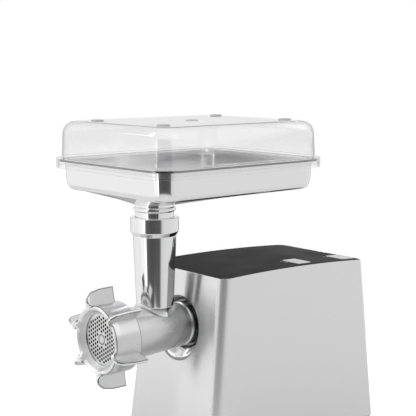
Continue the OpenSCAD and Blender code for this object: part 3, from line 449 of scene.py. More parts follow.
@dataclass(frozen=True)
class Finish:
    """One surface finish, made as a node material.

    Bump, fine, smear and shade weigh the marks. Rim is the tone of a clear sheet at its edges. Bow bends
    the shading's normal and not the mesh. Far_rough is the roughness as other surfaces mirror it, and front
    the plane behind which the bores get painted shade.
    """

    name: str
    colour: tuple[float, float, float]
    roughness: float
    metallic: float = 0.0
    grain: Grain = Grain.FINE
    bump: float = 0.02
    fine: float = 0.1
    smear: float = 0.1
    shade: float = 0.06
    anisotropic: float = 0.0
    coat: float = 0.0
    specular: float = 0.5
    transmission: float = 0.0
    ior: float = 1.45
    alpha: float = 1.0
    rim: float = 0.0
    coat_ior: float = 1.5
    bow: float = 0.0
    far_rough: float = 0.0
    front: float = 1.0

    def material(self) -> bpy.types.Material:
        """Makes the material, once.

        Returns:
            The material.
        """
        if self.name in bpy.data.materials:
            return bpy.data.materials[self.name]
        material = bpy.data.materials.new(self.name)
        material.use_nodes = True
        kit = Nodes(material.node_tree)
        shader = material.node_tree.nodes["Principled BSDF"]
        shader.inputs["Metallic"].default_value = self.metallic
        shader.inputs["Coat Weight"].default_value = self.coat
        shader.inputs["Coat Roughness"].default_value = COAT_ROUGHNESS
        shader.inputs["Coat IOR"].default_value = self.coat_ior
        shader.inputs["Specular IOR Level"].default_value = self.specular
        shader.inputs["Transmission Weight"].default_value = self.transmission
        shader.inputs["IOR"].default_value = self.ior
        shader.inputs["Alpha"].default_value = self.alpha
        marks = kit.add("ShaderNodeGroup", node_tree=surface_marks())
        marks.inputs["Grain"].default_value = self.grain.value
        marks.inputs["Fine"].default_value = self.fine
        marks.inputs["Smear"].default_value = self.smear
        rough = kit.maths("MULTIPLY", marks.outputs["Tone"], self.roughness * ROUGH_SWING)
        rough = kit.maths("ADD", rough, self.roughness)
        if self.far_rough:
            ray = kit.add("ShaderNodeLightPath")
            more = kit.maths("MULTIPLY", ray.outputs["Is Glossy Ray"], self.far_rough - self.roughness)
            rough = kit.maths("ADD", rough, more)
        kit.join(rough, shader.inputs["Roughness"])
        tone = kit.maths("MULTIPLY", marks.outputs["Tone"], self.shade * SHADE_SWING)
        tone = kit.maths("ADD", tone, 0.5)
        mix = kit.add("ShaderNodeMix", data_type="RGBA")
        kit.join(tone, mix.inputs["Factor"])
        low, high = 1 - self.shade, 1 + self.shade
        mix.inputs["A"].default_value = (*[c * low for c in self.colour], 1.0)
        mix.inputs["B"].default_value = (*[min(c * high, 1.0) for c in self.colour], 1.0)
        colour = mix.outputs["Result"]
        if self.rim:
            facing = kit.add("ShaderNodeLayerWeight", in_Blend=0.5)
            steep = kit.maths("POWER", facing.outputs["Facing"], RIM_POWER)
            edge = kit.add("ShaderNodeMix", data_type="RGBA")
            kit.join(steep, edge.inputs["Factor"])
            kit.join(colour, edge.inputs["A"])
            edge.inputs["B"].default_value = (self.rim, self.rim, self.rim, 1.0)
            colour = edge.outputs["Result"]
        if self.front < 1:
            colour = self.painted_bore_shade(kit, colour)
        kit.join(colour, shader.inputs["Base Color"])
        if self.bump:
            bump = kit.add("ShaderNodeBump", in_Strength=self.bump, in_Distance=MARK_DEPTH)
            kit.join(marks.outputs["Height"], bump.inputs["Height"])
            if self.bow:
                kit.join(self.bowed(kit), bump.inputs["Normal"])
            kit.join(bump.outputs["Normal"], shader.inputs["Normal"])
        if self.anisotropic:
            shader.inputs["Anisotropic"].default_value = self.anisotropic
            shader.inputs["Anisotropic Rotation"].default_value = LEVEL_TURN
            tangent = kit.add("ShaderNodeTangent", direction_type="RADIAL", axis="Z")
            kit.join(tangent.outputs[0], shader.inputs["Tangent"])
        return material

    def painted_bore_shade(self, kit: Nodes, colour: bpy.types.NodeSocket) -> bpy.types.NodeSocket:
        """Paints shade into the colour behind the front face, so that bores read deep.

        Args:
            kit: the material's nodes.
            colour: the colour so far.

        Returns:
            The darkened colour.
        """
        place = kit.add("ShaderNodeTexCoord")
        split = kit.add("ShaderNodeSeparateXYZ")
        kit.join(place.outputs["Object"], split.inputs[0])
        deep = kit.add("ShaderNodeMapRange")
        kit.join(split.outputs["Y"], deep.inputs["Value"])
        deep.inputs["From Min"].default_value = self.front + BORE_SHADE[0]
        deep.inputs["From Max"].default_value = self.front + BORE_SHADE[1]
        mix = kit.add("ShaderNodeMix", data_type="RGBA")
        kit.join(deep.outputs[0], mix.inputs["Factor"])
        kit.join(colour, mix.inputs["A"])
        mix.inputs["B"].default_value = BORE_SHADE_COLOUR
        return mix.outputs["Result"]

    def bowed(self, kit: Nodes) -> bpy.types.NodeSocket:
        """Bends the shading's normal to the right, by up to 16 degrees for a bow of 7.4.

        The mesh stays flat. The bend only sets which part of the room the sheet mirrors.

        Args:
            kit: the material's nodes.

        Returns:
            The bent normal.
        """
        place = kit.add("ShaderNodeTexCoord")
        split = kit.add("ShaderNodeSeparateXYZ")
        kit.join(place.outputs["Object"], split.inputs[0])
        right = kit.maths("MAXIMUM", split.outputs["X"], 0.0)
        near = kit.maths("MINIMUM", right, BOW_REACH)
        square = kit.maths("MULTIPLY", near, near)
        straight = kit.maths("MULTIPLY", kit.maths("SUBTRACT", right, near), 2 * BOW_REACH)
        bump = kit.add("ShaderNodeBump", in_Strength=1.0, in_Distance=1.0)
        kit.join(kit.maths("MULTIPLY", kit.maths("ADD", square, straight), -self.bow), bump.inputs["Height"])
        return bump.outputs["Normal"]


BRUSHED = Finish(
    "brushed_steel", (0.78, 0.78, 0.78), 0.25, 1.0, Grain.LEVEL, 0.03, 0.25, 0.05, 0.025, 0.8,
    bow=7.4, far_rough=0.9,
)
BRUSHED_BEND = Finish(
    "brushed_bend", (0.78, 0.78, 0.78), 0.42, 1.0, Grain.LEVEL, 0.03, 0.25, 0.05, 0.025, bow=4.6,
)
POLISHED = Finish("polished_steel", (0.86, 0.86, 0.86), 0.06, 1.0, Grain.FINE, 0.004, 0.05, 0.25, 0.01)
POLISHED_TUBE = Finish(
    "polished_casting", (0.84, 0.84, 0.845), 0.12, 1.0, Grain.FINE, 0.003, 0.05, 0.25, 0.015,
)
TRAY_INSIDE = Finish("tray_inside", (0.9, 0.9, 0.905), 0.15, 1.0, Grain.FINE, 0.0, 0.02, 0.1, 0.01)
# Dark steel that stands in for shade: painted shade in gaps, recesses and shade lines.
PAINTED_SHADE_STEEL = Finish("painted_shade_steel", (0.22, 0.22, 0.223), 0.22, 1.0, Grain.FINE, 0.004, 0.05, 0.1, 0.01)
DISH_STEEL = Finish("dish_steel", (0.72, 0.72, 0.725), 0.14, 1.0, Grain.FINE, 0.004, 0.05, 0.1, 0.01)
# Painted shade on the dish's outer lip.
DISH_LIP_SHADE = Finish("painted_shade_dish_lip", (0.26, 0.26, 0.262), 0.2, 1.0, Grain.FINE, 0.004, 0.05, 0.1, 0.01)
# Painted highlight on bright edges: the ring's lip, the wing rims and the tube's foot.
PAINTED_HIGHLIGHT_EDGE = Finish("painted_highlight_ring_edge", (0.93, 0.93, 0.93), 0.3, 0.5, Grain.FINE, 0.0, 0.02, 0.1, 0.01)
# Painted shade line beside the ring's lip and along the wings' rounded edges.
PAINTED_SHADE_LINE = Finish("painted_shade_ring_edge", (0.2, 0.2, 0.202), 0.3, 0.7, Grain.FINE, 0.0, 0.02, 0.1, 0.01)
RING_CONE = Finish("turned_ring_face", (0.68, 0.68, 0.685), 0.4, 0.3, Grain.FINE, 0.0, 0.02, 0.1, 0.01)
RING_SATIN = Finish("satin_ring", (0.68, 0.68, 0.685), 0.22, 1.0, Grain.FINE, 0.004, 0.02, 0.1, 0.015)
SATIN = Finish("satin_casting", (0.7, 0.7, 0.705), 0.28, 1.0, Grain.FINE, 0.004, 0.02, 0.12, 0.02)
TURNED = Finish("ground_steel", (0.7, 0.7, 0.705), 0.24, 1.0, Grain.TURNED, 0.03, 0.25, 0.1, 0.03)
PANEL_BLACK = Finish(
    "black_panel", (0.014, 0.014, 0.015), 0.42, 0.0, Grain.CAST, 0.015, 0.15, 0.2, 0.05, specular=0.018,
)
STRIP_BLACK = Finish(
    "black_strip", (0.015, 0.015, 0.016), 0.38, 0.0, Grain.CAST, 0.01, 0.1, 0.2, 0.05, specular=0.018,
)
BUTTON = Finish("silver_button", (0.7, 0.7, 0.71), 0.35, 0.6, Grain.CAST, 0.02, 0.15, 0.1, 0.03)
MARK_INK = Finish("grey_ink", (0.35, 0.35, 0.36), 0.5, 0.0, Grain.CAST, 0.01, 0.1, 0.1, 0.04)
MARK_PALE = Finish("pale_ink", (0.6, 0.6, 0.6), 0.5, 0.0, Grain.CAST, 0.01, 0.1, 0.1, 0.04)
MATT_BLACK = Finish("matt_black", (0.022, 0.022, 0.023), 0.55, 0.0, Grain.CAST, 0.06, 0.2, 0.15, 0.08)
RUBBER = Finish("soft_rubber", (0.03, 0.03, 0.03), 0.8, 0.0, Grain.CAST, 0.08, 0.2, 0.2, 0.1)
CLEAR = Finish(
    "clear_plastic", (0.955, 0.955, 0.955), 0.02, 0.0, Grain.FINE, 0.0, 0.1, 0.2, 0.0,
    coat=1.0, transmission=1.0, ior=1.012, rim=0.55, coat_ior=1.75,
)
PEG = Finish(
    "frosted_peg", (0.66, 0.66, 0.665), 0.4, 0.0, Grain.FINE, 0.0, 0.1, 0.1, 0.02, specular=0.2, alpha=0.75,
)
NYLON = Finish("white_nylon", (0.78, 0.76, 0.7), 0.5, 0.0, Grain.CAST, 0.03, 0.15, 0.15, 0.03)
GLASS_FILLED = Finish("filled_plastic", (0.6, 0.6, 0.57), 0.6, 0.0, Grain.CAST, 0.06, 0.25, 0.2, 0.04)
COPPER = Finish("copper_wire", (0.7, 0.33, 0.14), 0.3, 1.0, Grain.TURNED, 0.15, 0.3, 0.15, 0.08)
BRONZE = Finish("sintered_bronze", (0.58, 0.42, 0.2), 0.4, 1.0, Grain.CAST, 0.06, 0.25, 0.15, 0.05)
LAMINATED = Finish("stacked_steel", (0.3, 0.31, 0.33), 0.42, 1.0, Grain.CAST, 0.1, 0.3, 0.15, 0.06)
GEAR_STEEL = Finish("gear_steel", (0.45, 0.46, 0.48), 0.35, 1.0, Grain.CAST, 0.05, 0.25, 0.15, 0.05)
ZINC = Finish("zinc_plate", (0.6, 0.61, 0.63), 0.3, 1.0, Grain.CAST, 0.03, 0.2, 0.15, 0.04)
POWDER = Finish("powder_coat", (0.05, 0.05, 0.052), 0.5, 0.0, Grain.CAST, 0.1, 0.25, 0.15, 0.08)
BOARD = Finish("circuit_board", (0.02, 0.2, 0.08), 0.35, 0.0, Grain.CAST, 0.03, 0.2, 0.15, 0.06)
CARBON = Finish("pressed_carbon", (0.03, 0.03, 0.03), 0.6, 0.0, Grain.CAST, 0.1, 0.3, 0.15, 0.1)
DIE_CAST = Finish("die_casting", (0.5, 0.5, 0.51), 0.4, 1.0, Grain.CAST, 0.06, 0.25, 0.2, 0.05)

NODE_FINISHES: dict[str, Finish] = {
    "on_off_spring": ZINC, "reverse_spring": ZINC, "button_switches": MATT_BLACK, "switch_board": BOARD,
    "base_plate": MATT_BLACK, "rubber_feet": RUBBER, "base_screws": ZINC, "cord_gland": RUBBER,
    "power_board": BOARD, "front_frame": POWDER, "gearbox_case": GLASS_FILLED, "gearbox_cover": GLASS_FILLED,
    "gearbox_screws": ZINC, "output_bush": BRONZE, "rear_output_bush": BRONZE, "output_shaft": GEAR_STEEL,
    "drive_socket": GEAR_STEEL, "output_gear": GEAR_STEEL, "second_gear": NYLON, "second_axle": ZINC,
    "first_gear": NYLON, "first_axle": ZINC, "motor_pinion": GEAR_STEEL, "motor_shaft": ZINC,
    "armature_core": LAMINATED, "armature_windings": COPPER, "commutator": COPPER, "cooling_fan": MATT_BLACK,
    "front_motor_bearing": ZINC, "rear_motor_bearing": ZINC, "stator_core": LAMINATED, "field_coils": COPPER,
    "motor_front_bracket": DIE_CAST, "motor_rear_bracket": DIE_CAST, "motor_bolts": ZINC,
    "brush_holders": BRONZE, "carbon_brushes": CARBON, "head_bush": BRONZE, "auger": SATIN,
    "thrust_washer": NYLON, "knife": TURNED, "hole_plate": TURNED, "plate_key": ZINC,
}


# Pieces


@dataclass
class Housing:
    """The steel wrap, the black top with its strip and buttons, and the dish round the barrel."""

    sheet: float = 1.0
    edge: float = 0.35
    side_parts: int = 30
    corner_parts: int = 10
    panel_drop: float = 0.5
    panel_t: float = 2.6
    dish_r0: float = 26.8
    dish_k: float = 1.04
    dish_back: float = -3.0
    strip_x1: float = 25.0
    strip_x2: float = 56.0
    strip_y1: float = 117.0
    strip_y2: float = 212.0
    button_x: float = 40.5
    button_w: float = 26.0
    button_d: float = 20.0
    button_rise: float = 0.8
    on_off_y: float = 130.0
    reverse_y: float = 200.5
    window_count: int = 120
    window_gap: float = 0.25
    dish_n: int = 128
    dish_foot: float = 25.4
    dish_t: float = 1.1
    long_edge: float = 20.0

    def outline(self, z: float, inset: float) -> list[Point]:
        """Returns the housing's outline.

        Args:
            z: height.
            inset: how far the outline is drawn in.

        Returns:
            The outline's points.
        """
        y1, y2 = LAY.front_y(z, inset), LAY.rear_y(z, inset)
        r = max(LAY.corner_r - inset, 1.0)
        width = 2 * LAY.half_w(z, inset)
        flat = round_rect(width, y2 - y1, r, self.corner_parts, (1, self.side_parts), FLAT_LEAD)
        return [(x, y + (y1 + y2) / 2, z) for x, y in flat]

    def crowned(self, inset: float, drop: float) -> list[Point]:
        """Returns the outline on the crowned top surface, lowered by drop."""
        heights = [LAY.top_z(p[1]) - drop for p in self.outline(LAY.z_front, inset)]
        return [self.outline(z, inset)[i] for i, z in enumerate(heights)]

    def dish_edge(self, a: float) -> float:
        """Returns the radius at which the dish meets the leaning front wall, at angle a."""
        reach = LAY.front_lean * (LAY.z_front - LAY.z_axis)
        return (self.dish_r0 + self.dish_k * reach) / (1 + self.dish_k * LAY.front_lean * math.sin(a))

    def wall_s(self, r: float, a: float) -> float:
        """Returns how far forwards the front wall lies at radius r and angle a round the barrel."""
        return LAY.front_lean * (LAY.z_front - LAY.z_axis - r * math.sin(a))

    def wrap(self) -> None:
        """Builds the steel sheet with its rounded corners and the opening for the dish."""
        skin = Skin()
        s, e = self.sheet, self.edge
        loops = [
            self.outline(LAY.z_steel, s), self.outline(LAY.z_steel, e), self.outline(LAY.z_steel + e, 0),
            self.crowned(0, e), self.crowned(e * 0.3, e * 0.3), self.crowned(e, 0), self.crowned(s - 0.2, 0),
            self.crowned(s, 0.25),
        ]
        rows = [skin.loop(points) for points in loops]
        n = len(loops[0])
        front = next(i for i in range(n) if self._is_front(loops[2], i))
        for k, (a, b) in enumerate(zip(rows, rows[1:] + rows[:1])):
            for i in range(n):
                if i == front and k in (2, 7):
                    continue
                j = (i + 1) % n
                skin.tint = 1 if k == 2 and self._bends(loops[2], i) else 0
                skin.face(a[i], a[j], b[j], b[i])
        skin.tint = 0
        j = (front + 1) % n
        count = self.window_count
        for outer in (True, False):
            low, high = (rows[2], rows[3]) if outer else (rows[0], rows[7])
            inset = 0.0 if outer else self.sheet
            ring = []
            for i in range(count):
                a = TAU * i / count
                r = self.dish_edge(a) + self.window_gap
                x, z = r * math.cos(a), LAY.z_axis + r * math.sin(a)
                ring.append((x, LAY.front_y(z, inset), z))
            numbers = skin.loop(ring)
            frame_in = self.window_frame(skin, (low[front], low[j], high[j], high[front]), inset)
            skin.fill(frame_in, numbers)
            if outer:
                first = numbers
            else:
                skin.band(first, numbers)
        dress = Dress("base", "housing_steel", (BRUSHED, BRUSHED_BEND), ("housing_shell",))
        skin.build("steel_wrap", dress, 25.0)

    def window_frame(self, skin: Skin, corners: Sequence[int], inset: float) -> list[int]:
        """Adds a narrow border inside the flat front, so that its middle shades flat.

        Args:
            skin: the skin to add to.
            corners: the front's four corner points.
            inset: how far the front lies inside the outer surface.

        Returns:
            The border's inner corner points.
        """
        lead = FLAT_LEAD
        points = [skin.points[i] for i in corners]
        xm = sum(p[0] for p in points) / 4
        zm = sum(p[2] for p in points) / 4
        inner = []
        for x, _, z in points:
            z1 = z + math.copysign(lead, zm - z)
            inner.append((x + math.copysign(lead, xm - x), LAY.front_y(z1, inset), z1))
        numbers = skin.loop(inner)
        skin.band(corners, numbers)
        return numbers

    def _is_front(self, loop: Sequence[Point], i: int) -> bool:
        """Returns whether the edge from point i lies along the flat front."""
        a, b = loop[i], loop[(i + 1) % len(loop)]
        return abs(a[1] - b[1]) < SAME and a[1] < 0 and abs(a[0] - b[0]) > self.long_edge

    def _bends(self, loop: Sequence[Point], i: int) -> bool:
        """Returns whether the edge from point i lies in a rounded corner."""
        a, b = loop[i], loop[(i + 1) % len(loop)]
        return abs(a[0] - b[0]) > SAME and abs(a[1] - b[1]) > SAME

    def dish(self) -> None:
        """Builds the polished dish that leads from the front wall to the barrel's neck, with painted shade on
        its inner floor and its outer lip.
        """
        skin = Skin()
        n = self.dish_n
        path = [
            (0.2, 0.2), (0.42, 0.44), (0.55, 0.6), (0.66, 0.75), (0.72, 0.83), (0.79, 0.9), (0.87, 0.95),
            (0.94, 0.98), (1.0, 1.0),
        ]
        loops: list[list[Point]] = []
        for r, s in ((22.6, self.dish_back - self.dish_t), (22.6, self.dish_back), (25.0, self.dish_back)):
            loops.append([round_barrel(r, s, TAU * i / n) for i in range(n)])
        for t, u in path:
            loop = []
            for i in range(n):
                a = TAU * i / n
                edge = self.dish_edge(a)
                r = self.dish_foot + (edge - self.dish_foot) * t
                s = self.dish_back + (self.wall_s(edge, a) - self.dish_back) * u
                loop.append(round_barrel(r, s, a))
            loops.append(loop)
        back = []
        for i in range(n):
            a = TAU * i / n
            edge = self.dish_edge(a)
            back.append(round_barrel(edge + 0.1, self.wall_s(edge, a) - self.dish_t, a))
        loops.append(back)
        loops.append([round_barrel(26.2, self.dish_back - self.dish_t, TAU * i / n) for i in range(n)])
        skin.loft(loops, True, True)
        for k in range(len(loops)):
            # The innermost rows get painted shade in dark steel, and the outer lip band gets painted shade in
            # darker grey.
            kind = 1 if k < 3 else 2 if 8 <= k < 11 else 0
            skin.tints[k * n:(k + 1) * n] = [kind] * n
        dress = Dress("base", "dish_steel", (DISH_STEEL, PAINTED_SHADE_STEEL, DISH_LIP_SHADE), ("throat_dish",))
        skin.build("barrel_dish", dress, 40.0)

    def panel_rows(self, ys: Sequence[float], inset: float) -> list[tuple[float, float]]:
        """Returns the panel's half widths, following the round corners.

        Args:
            ys: distances from the front edge.
            inset: how far the panel's edge lies inside the housing's.

        Returns:
            Each y with its half width.
        """
        out = []
        r = LAY.corner_r - inset
        y1, y2 = inset, LAY.top_d - inset
        for y in ys:
            near = min(y - y1, y2 - y)
            cut = 0.0 if near >= r else r - math.sqrt(max(r * r - (r - near) ** 2, 0))
            out.append((y, LAY.half_w(LAY.top_z(y), inset) - cut))
        return out

    def top_panel(self) -> None:
        """Builds the crowned black panel round the control strip."""
        skin = Skin()
        inset = self.sheet + 0.25
        r = LAY.corner_r - inset
        bends = [r * (1 - math.cos(math.pi / 2 * k / 8)) for k in range(9)]
        middle = [inset + r + (LAY.top_d - 2 * (inset + r)) * k / 40 for k in range(1, 40)]
        ys = [inset + b for b in bends] + middle + [LAY.top_d - inset - b for b in reversed(bends)]
        gap = 0.2
        y1, y2 = self.strip_y1 - gap, self.strip_y2 + gap
        ys = sorted(set(ys) | {y1, y2})
        x1, x2 = self.strip_x1 - gap, self.strip_x2 + gap
        tops, backs = [], []
        for y, half in self.panel_rows(ys, inset):
            right = min(x2, half - 0.3)
            left = min(x1, half - 1.2)
            xs = [-half + (left + half) * k / 6 for k in range(7)] + [right, half]
            z = LAY.top_z(y) - self.panel_drop
            tops.append(skin.loop([(x, y, z) for x in xs]))
            backs.append(skin.loop([(x, y, z - self.panel_t) for x in xs]))
        for k in range(len(ys) - 1):
            hole = ys[k] >= y1 - SAME and ys[k + 1] <= y2 + SAME
            for i in range(8):
                if hole and i == 6:
                    continue
                skin.face(tops[k][i], tops[k][i + 1], tops[k + 1][i + 1], tops[k + 1][i])
                skin.face(backs[k][i], backs[k + 1][i], backs[k + 1][i + 1], backs[k][i + 1])
            for i in ((0, 8) if not hole else (0, 6, 7, 8)):
                skin.face(tops[k][i], tops[k + 1][i], backs[k + 1][i], backs[k][i])
        for k in (0, len(ys) - 1):
            for i in range(8):
                skin.face(tops[k][i], tops[k][i + 1], backs[k][i + 1], backs[k][i])
        for k in (ys.index(y1), ys.index(y2)):
            skin.face(tops[k][6], tops[k][7], backs[k][7], backs[k][6])
        skin.build("black_top", Dress("base", "panel_black", (PANEL_BLACK,), ("top_panel",)), 30.0)

    def slab(
        self, skin: Skin, outlines: Sequence[tuple[float, float]], box: Sequence[float], r: float
    ) -> None:
        """Adds a crowned slab.

        Args:
            skin: the skin to add to.
            outlines: (inset, drop) of each layer's outline, from the top's inner one down.
            box: x1, x2, y1, y2 of the slab.
            r: its corner radius.
        """
        x1, x2, y1, y2 = box
        loops = []
        for inset, drop in outlines:
            flat = round_rect(x2 - x1 - 2 * inset, y2 - y1 - 2 * inset, max(r - inset, 0.2), 4, (1, 10))
            points = [(x + (x1 + x2) / 2, y + (y1 + y2) / 2) for x, y in flat]
            loops.append([(x, y, LAY.top_z(y) - self.panel_drop - drop) for x, y in points])
        rows = skin.loft(loops)
        for numbers in (rows[0], rows[-1]):
            order = self._bridge(loops[0])
            for a, b in zip(order, order[1:]):
                skin.face(numbers[a[0]], numbers[a[1]], numbers[b[1]], numbers[b[0]])

    def _bridge(self, loop: Sequence[Point]) -> list[tuple[int, int]]:
        """Pairs the loop's points that face each other across the slab.

        Args:
            loop: the slab's outline.

        Returns:
            The pairs of point places, from front to back.
        """
        xm = (min(p[0] for p in loop) + max(p[0] for p in loop)) / 2
        sides = []
        for side in (-1, 1):
            places = [i for i, p in enumerate(loop) if (p[0] - xm) * side > 0]
            sides.append(sorted(places, key=lambda i: (loop[i][1], side * loop[i][0])))
        return list(zip(*sides))

    def strip(self) -> None:
        """Builds the black strip with its two button openings."""
        skin = Skin()
        gap = 0.3
        w, d = self.button_w / 2 + gap, self.button_d / 2 + gap
        xs = [self.strip_x1, self.button_x - w, self.button_x + w, self.strip_x2]
        holes = [(y - d, y + d) for y in (self.on_off_y, self.reverse_y)]
        edges = [v for hole in holes for v in hole]
        between = [145 + 7 * k for k in range(7)]
        ys = sorted({self.strip_y1, self.strip_y2, *edges, *between})
        tops, backs = [], []
        for y in ys:
            z = LAY.top_z(y) - self.panel_drop + 0.05
            tops.append(skin.loop([(x, y, z) for x in xs]))
            backs.append(skin.loop([(x, y, z - self.panel_t) for x in xs]))
        for k in range(len(ys) - 1):
            hole = any(ys[k] >= a - SAME and ys[k + 1] <= b + SAME for a, b in holes)
            for i in range(3):
                if hole and i == 1:
                    continue
                skin.face(tops[k][i], tops[k][i + 1], tops[k + 1][i + 1], tops[k + 1][i])
                skin.face(backs[k][i], backs[k + 1][i], backs[k + 1][i + 1], backs[k][i + 1])
            for i in ((0, 3) if not hole else (0, 1, 2, 3)):
                skin.face(tops[k][i], tops[k + 1][i], backs[k + 1][i], backs[k][i])
        for y in (self.strip_y1, self.strip_y2):
            k = ys.index(y)
            for i in range(3):
                skin.face(tops[k][i], tops[k][i + 1], backs[k][i + 1], backs[k][i])
        for y in edges:
            k = ys.index(y)
            skin.face(tops[k][1], tops[k][2], backs[k][2], backs[k][1])
        skin.build("button_strip", Dress("base", "strip_black", (STRIP_BLACK,), ("control_strip",)), 30.0)

    def button(self, y: float, name: str, symbol: Sequence[Sequence[Flat]]) -> None:
        """Builds one button cap with its flange, stem and printed symbol.

        Args:
            y: middle of the button.
            name: the CAD node and body of the button.
            symbol: open strokes round the middle, in millimetres.
        """
        skin = Skin()
        w, d = self.button_w / 2, self.button_d / 2
        box = (self.button_x - w, self.button_x + w, y - d, y + d)
        rise = self.button_rise
        layers = [
            (1.2, -rise), (0.5, 0.12 - rise), (0.15, 0.4 - rise), (0.0, 0.8 - rise), (0.0, 3.0), (-1.5, 3.0),
            (-1.5, 4.2),
        ]
        self.slab(skin, layers, box, 1.5)
        top = LAY.top_z(y) - self.panel_drop
        board = LAY.top_z(self.reverse_y) - 14
        foot = board + 4.3
        stem = [(0.0, top - 4.0), (1.2, top - 4.0), (1.2, foot + 0.2), (1.0, foot), (0.0, foot)]
        skin.lathe(stem, lambda r, z, a: (self.button_x + r * math.cos(a), y + r * math.sin(a), z), 24, False)
        skin.tint = 1
        for stroke in symbol:
            self.stroke(skin, stroke, (self.button_x, y), rise + 0.03, 0.7)
        skin.build(name + "_cap", Dress(name, "button_silver", (BUTTON, MARK_INK), (name,)), 30.0)

    def stroke(
        self, skin: Skin, path: Sequence[Flat], at: Flat, lift: float, width: float
    ) -> None:
        """Adds a thin printed stroke on the crowned surface.

        Args:
            skin: the skin to add to.
            path: the stroke's points round its middle.
            at: the middle.
            lift: height over the panel.
            width: the stroke's width.
        """
        sides: list[list[Point]] = [[], []]
        for i, (x, y) in enumerate(path):
            a, b = Vector(path[max(i - 1, 0)]), Vector(path[min(i + 1, len(path) - 1)])
            run = (b - a).normalized()
            for side, points in zip((-0.5, 0.5), sides):
                px, py = at[0] + x - run.y * width * side, at[1] + y + run.x * width * side
                points.append((px, py, LAY.top_z(py) - self.panel_drop + lift))
        low = [[(x, y, z - 0.06) for x, y, z in points] for points in sides]
        skin.loft([sides[0], sides[1], low[1], low[0]], False, True)

    def marks(self) -> None:
        """Builds the plain printed labels beside the buttons."""
        skin = Skin()
        ring = [(1.3 * math.cos(TAU * k / 16), 1.3 * math.sin(TAU * k / 16)) for k in range(17)]
        for x, y, strokes in (
            (31.5, 115.2, [ring]), (35.5, 115.2, [[(0, -1.3), (0, 1.3)]]), (39.5, 115.2, [ring]),
            (31.5, 185.5, [[(-1.4, 0), (1.4, 0)], [(-0.4, 1.0), (-1.4, 0), (-0.4, -1.0)]]),
            (36.0, 185.5, [[(-1.4, 0), (1.4, 0)], [(-0.4, 1.0), (-1.4, 0), (-0.4, -1.0)]]),
        ):
            for path in strokes:
                self.stroke(skin, path, (x, y), 0.1, 0.55)
        skin.build("panel_marks", Dress("base", "button_silver", (MARK_PALE,)), 30.0)

    def build(self) -> None:
        """Builds every piece of the housing."""
        self.wrap()
        self.dish()
        self.top_panel()
        self.strip()
        turns = [TAU * (0.12 + 0.76 * k / 20) for k in range(21)]
        power = [[(3.2 * math.sin(a), 3.2 * math.cos(a)) for a in turns], [(0, 1.0), (0, 4.0)]]
        back = [[(-4, 0), (4, 0)], [(-1.5, 2.4), (-4, 0), (-1.5, -2.4)]]
        self.button(self.on_off_y, "on_off_button", power)
        self.button(self.reverse_y, "reverse_button", back)
        self.marks()


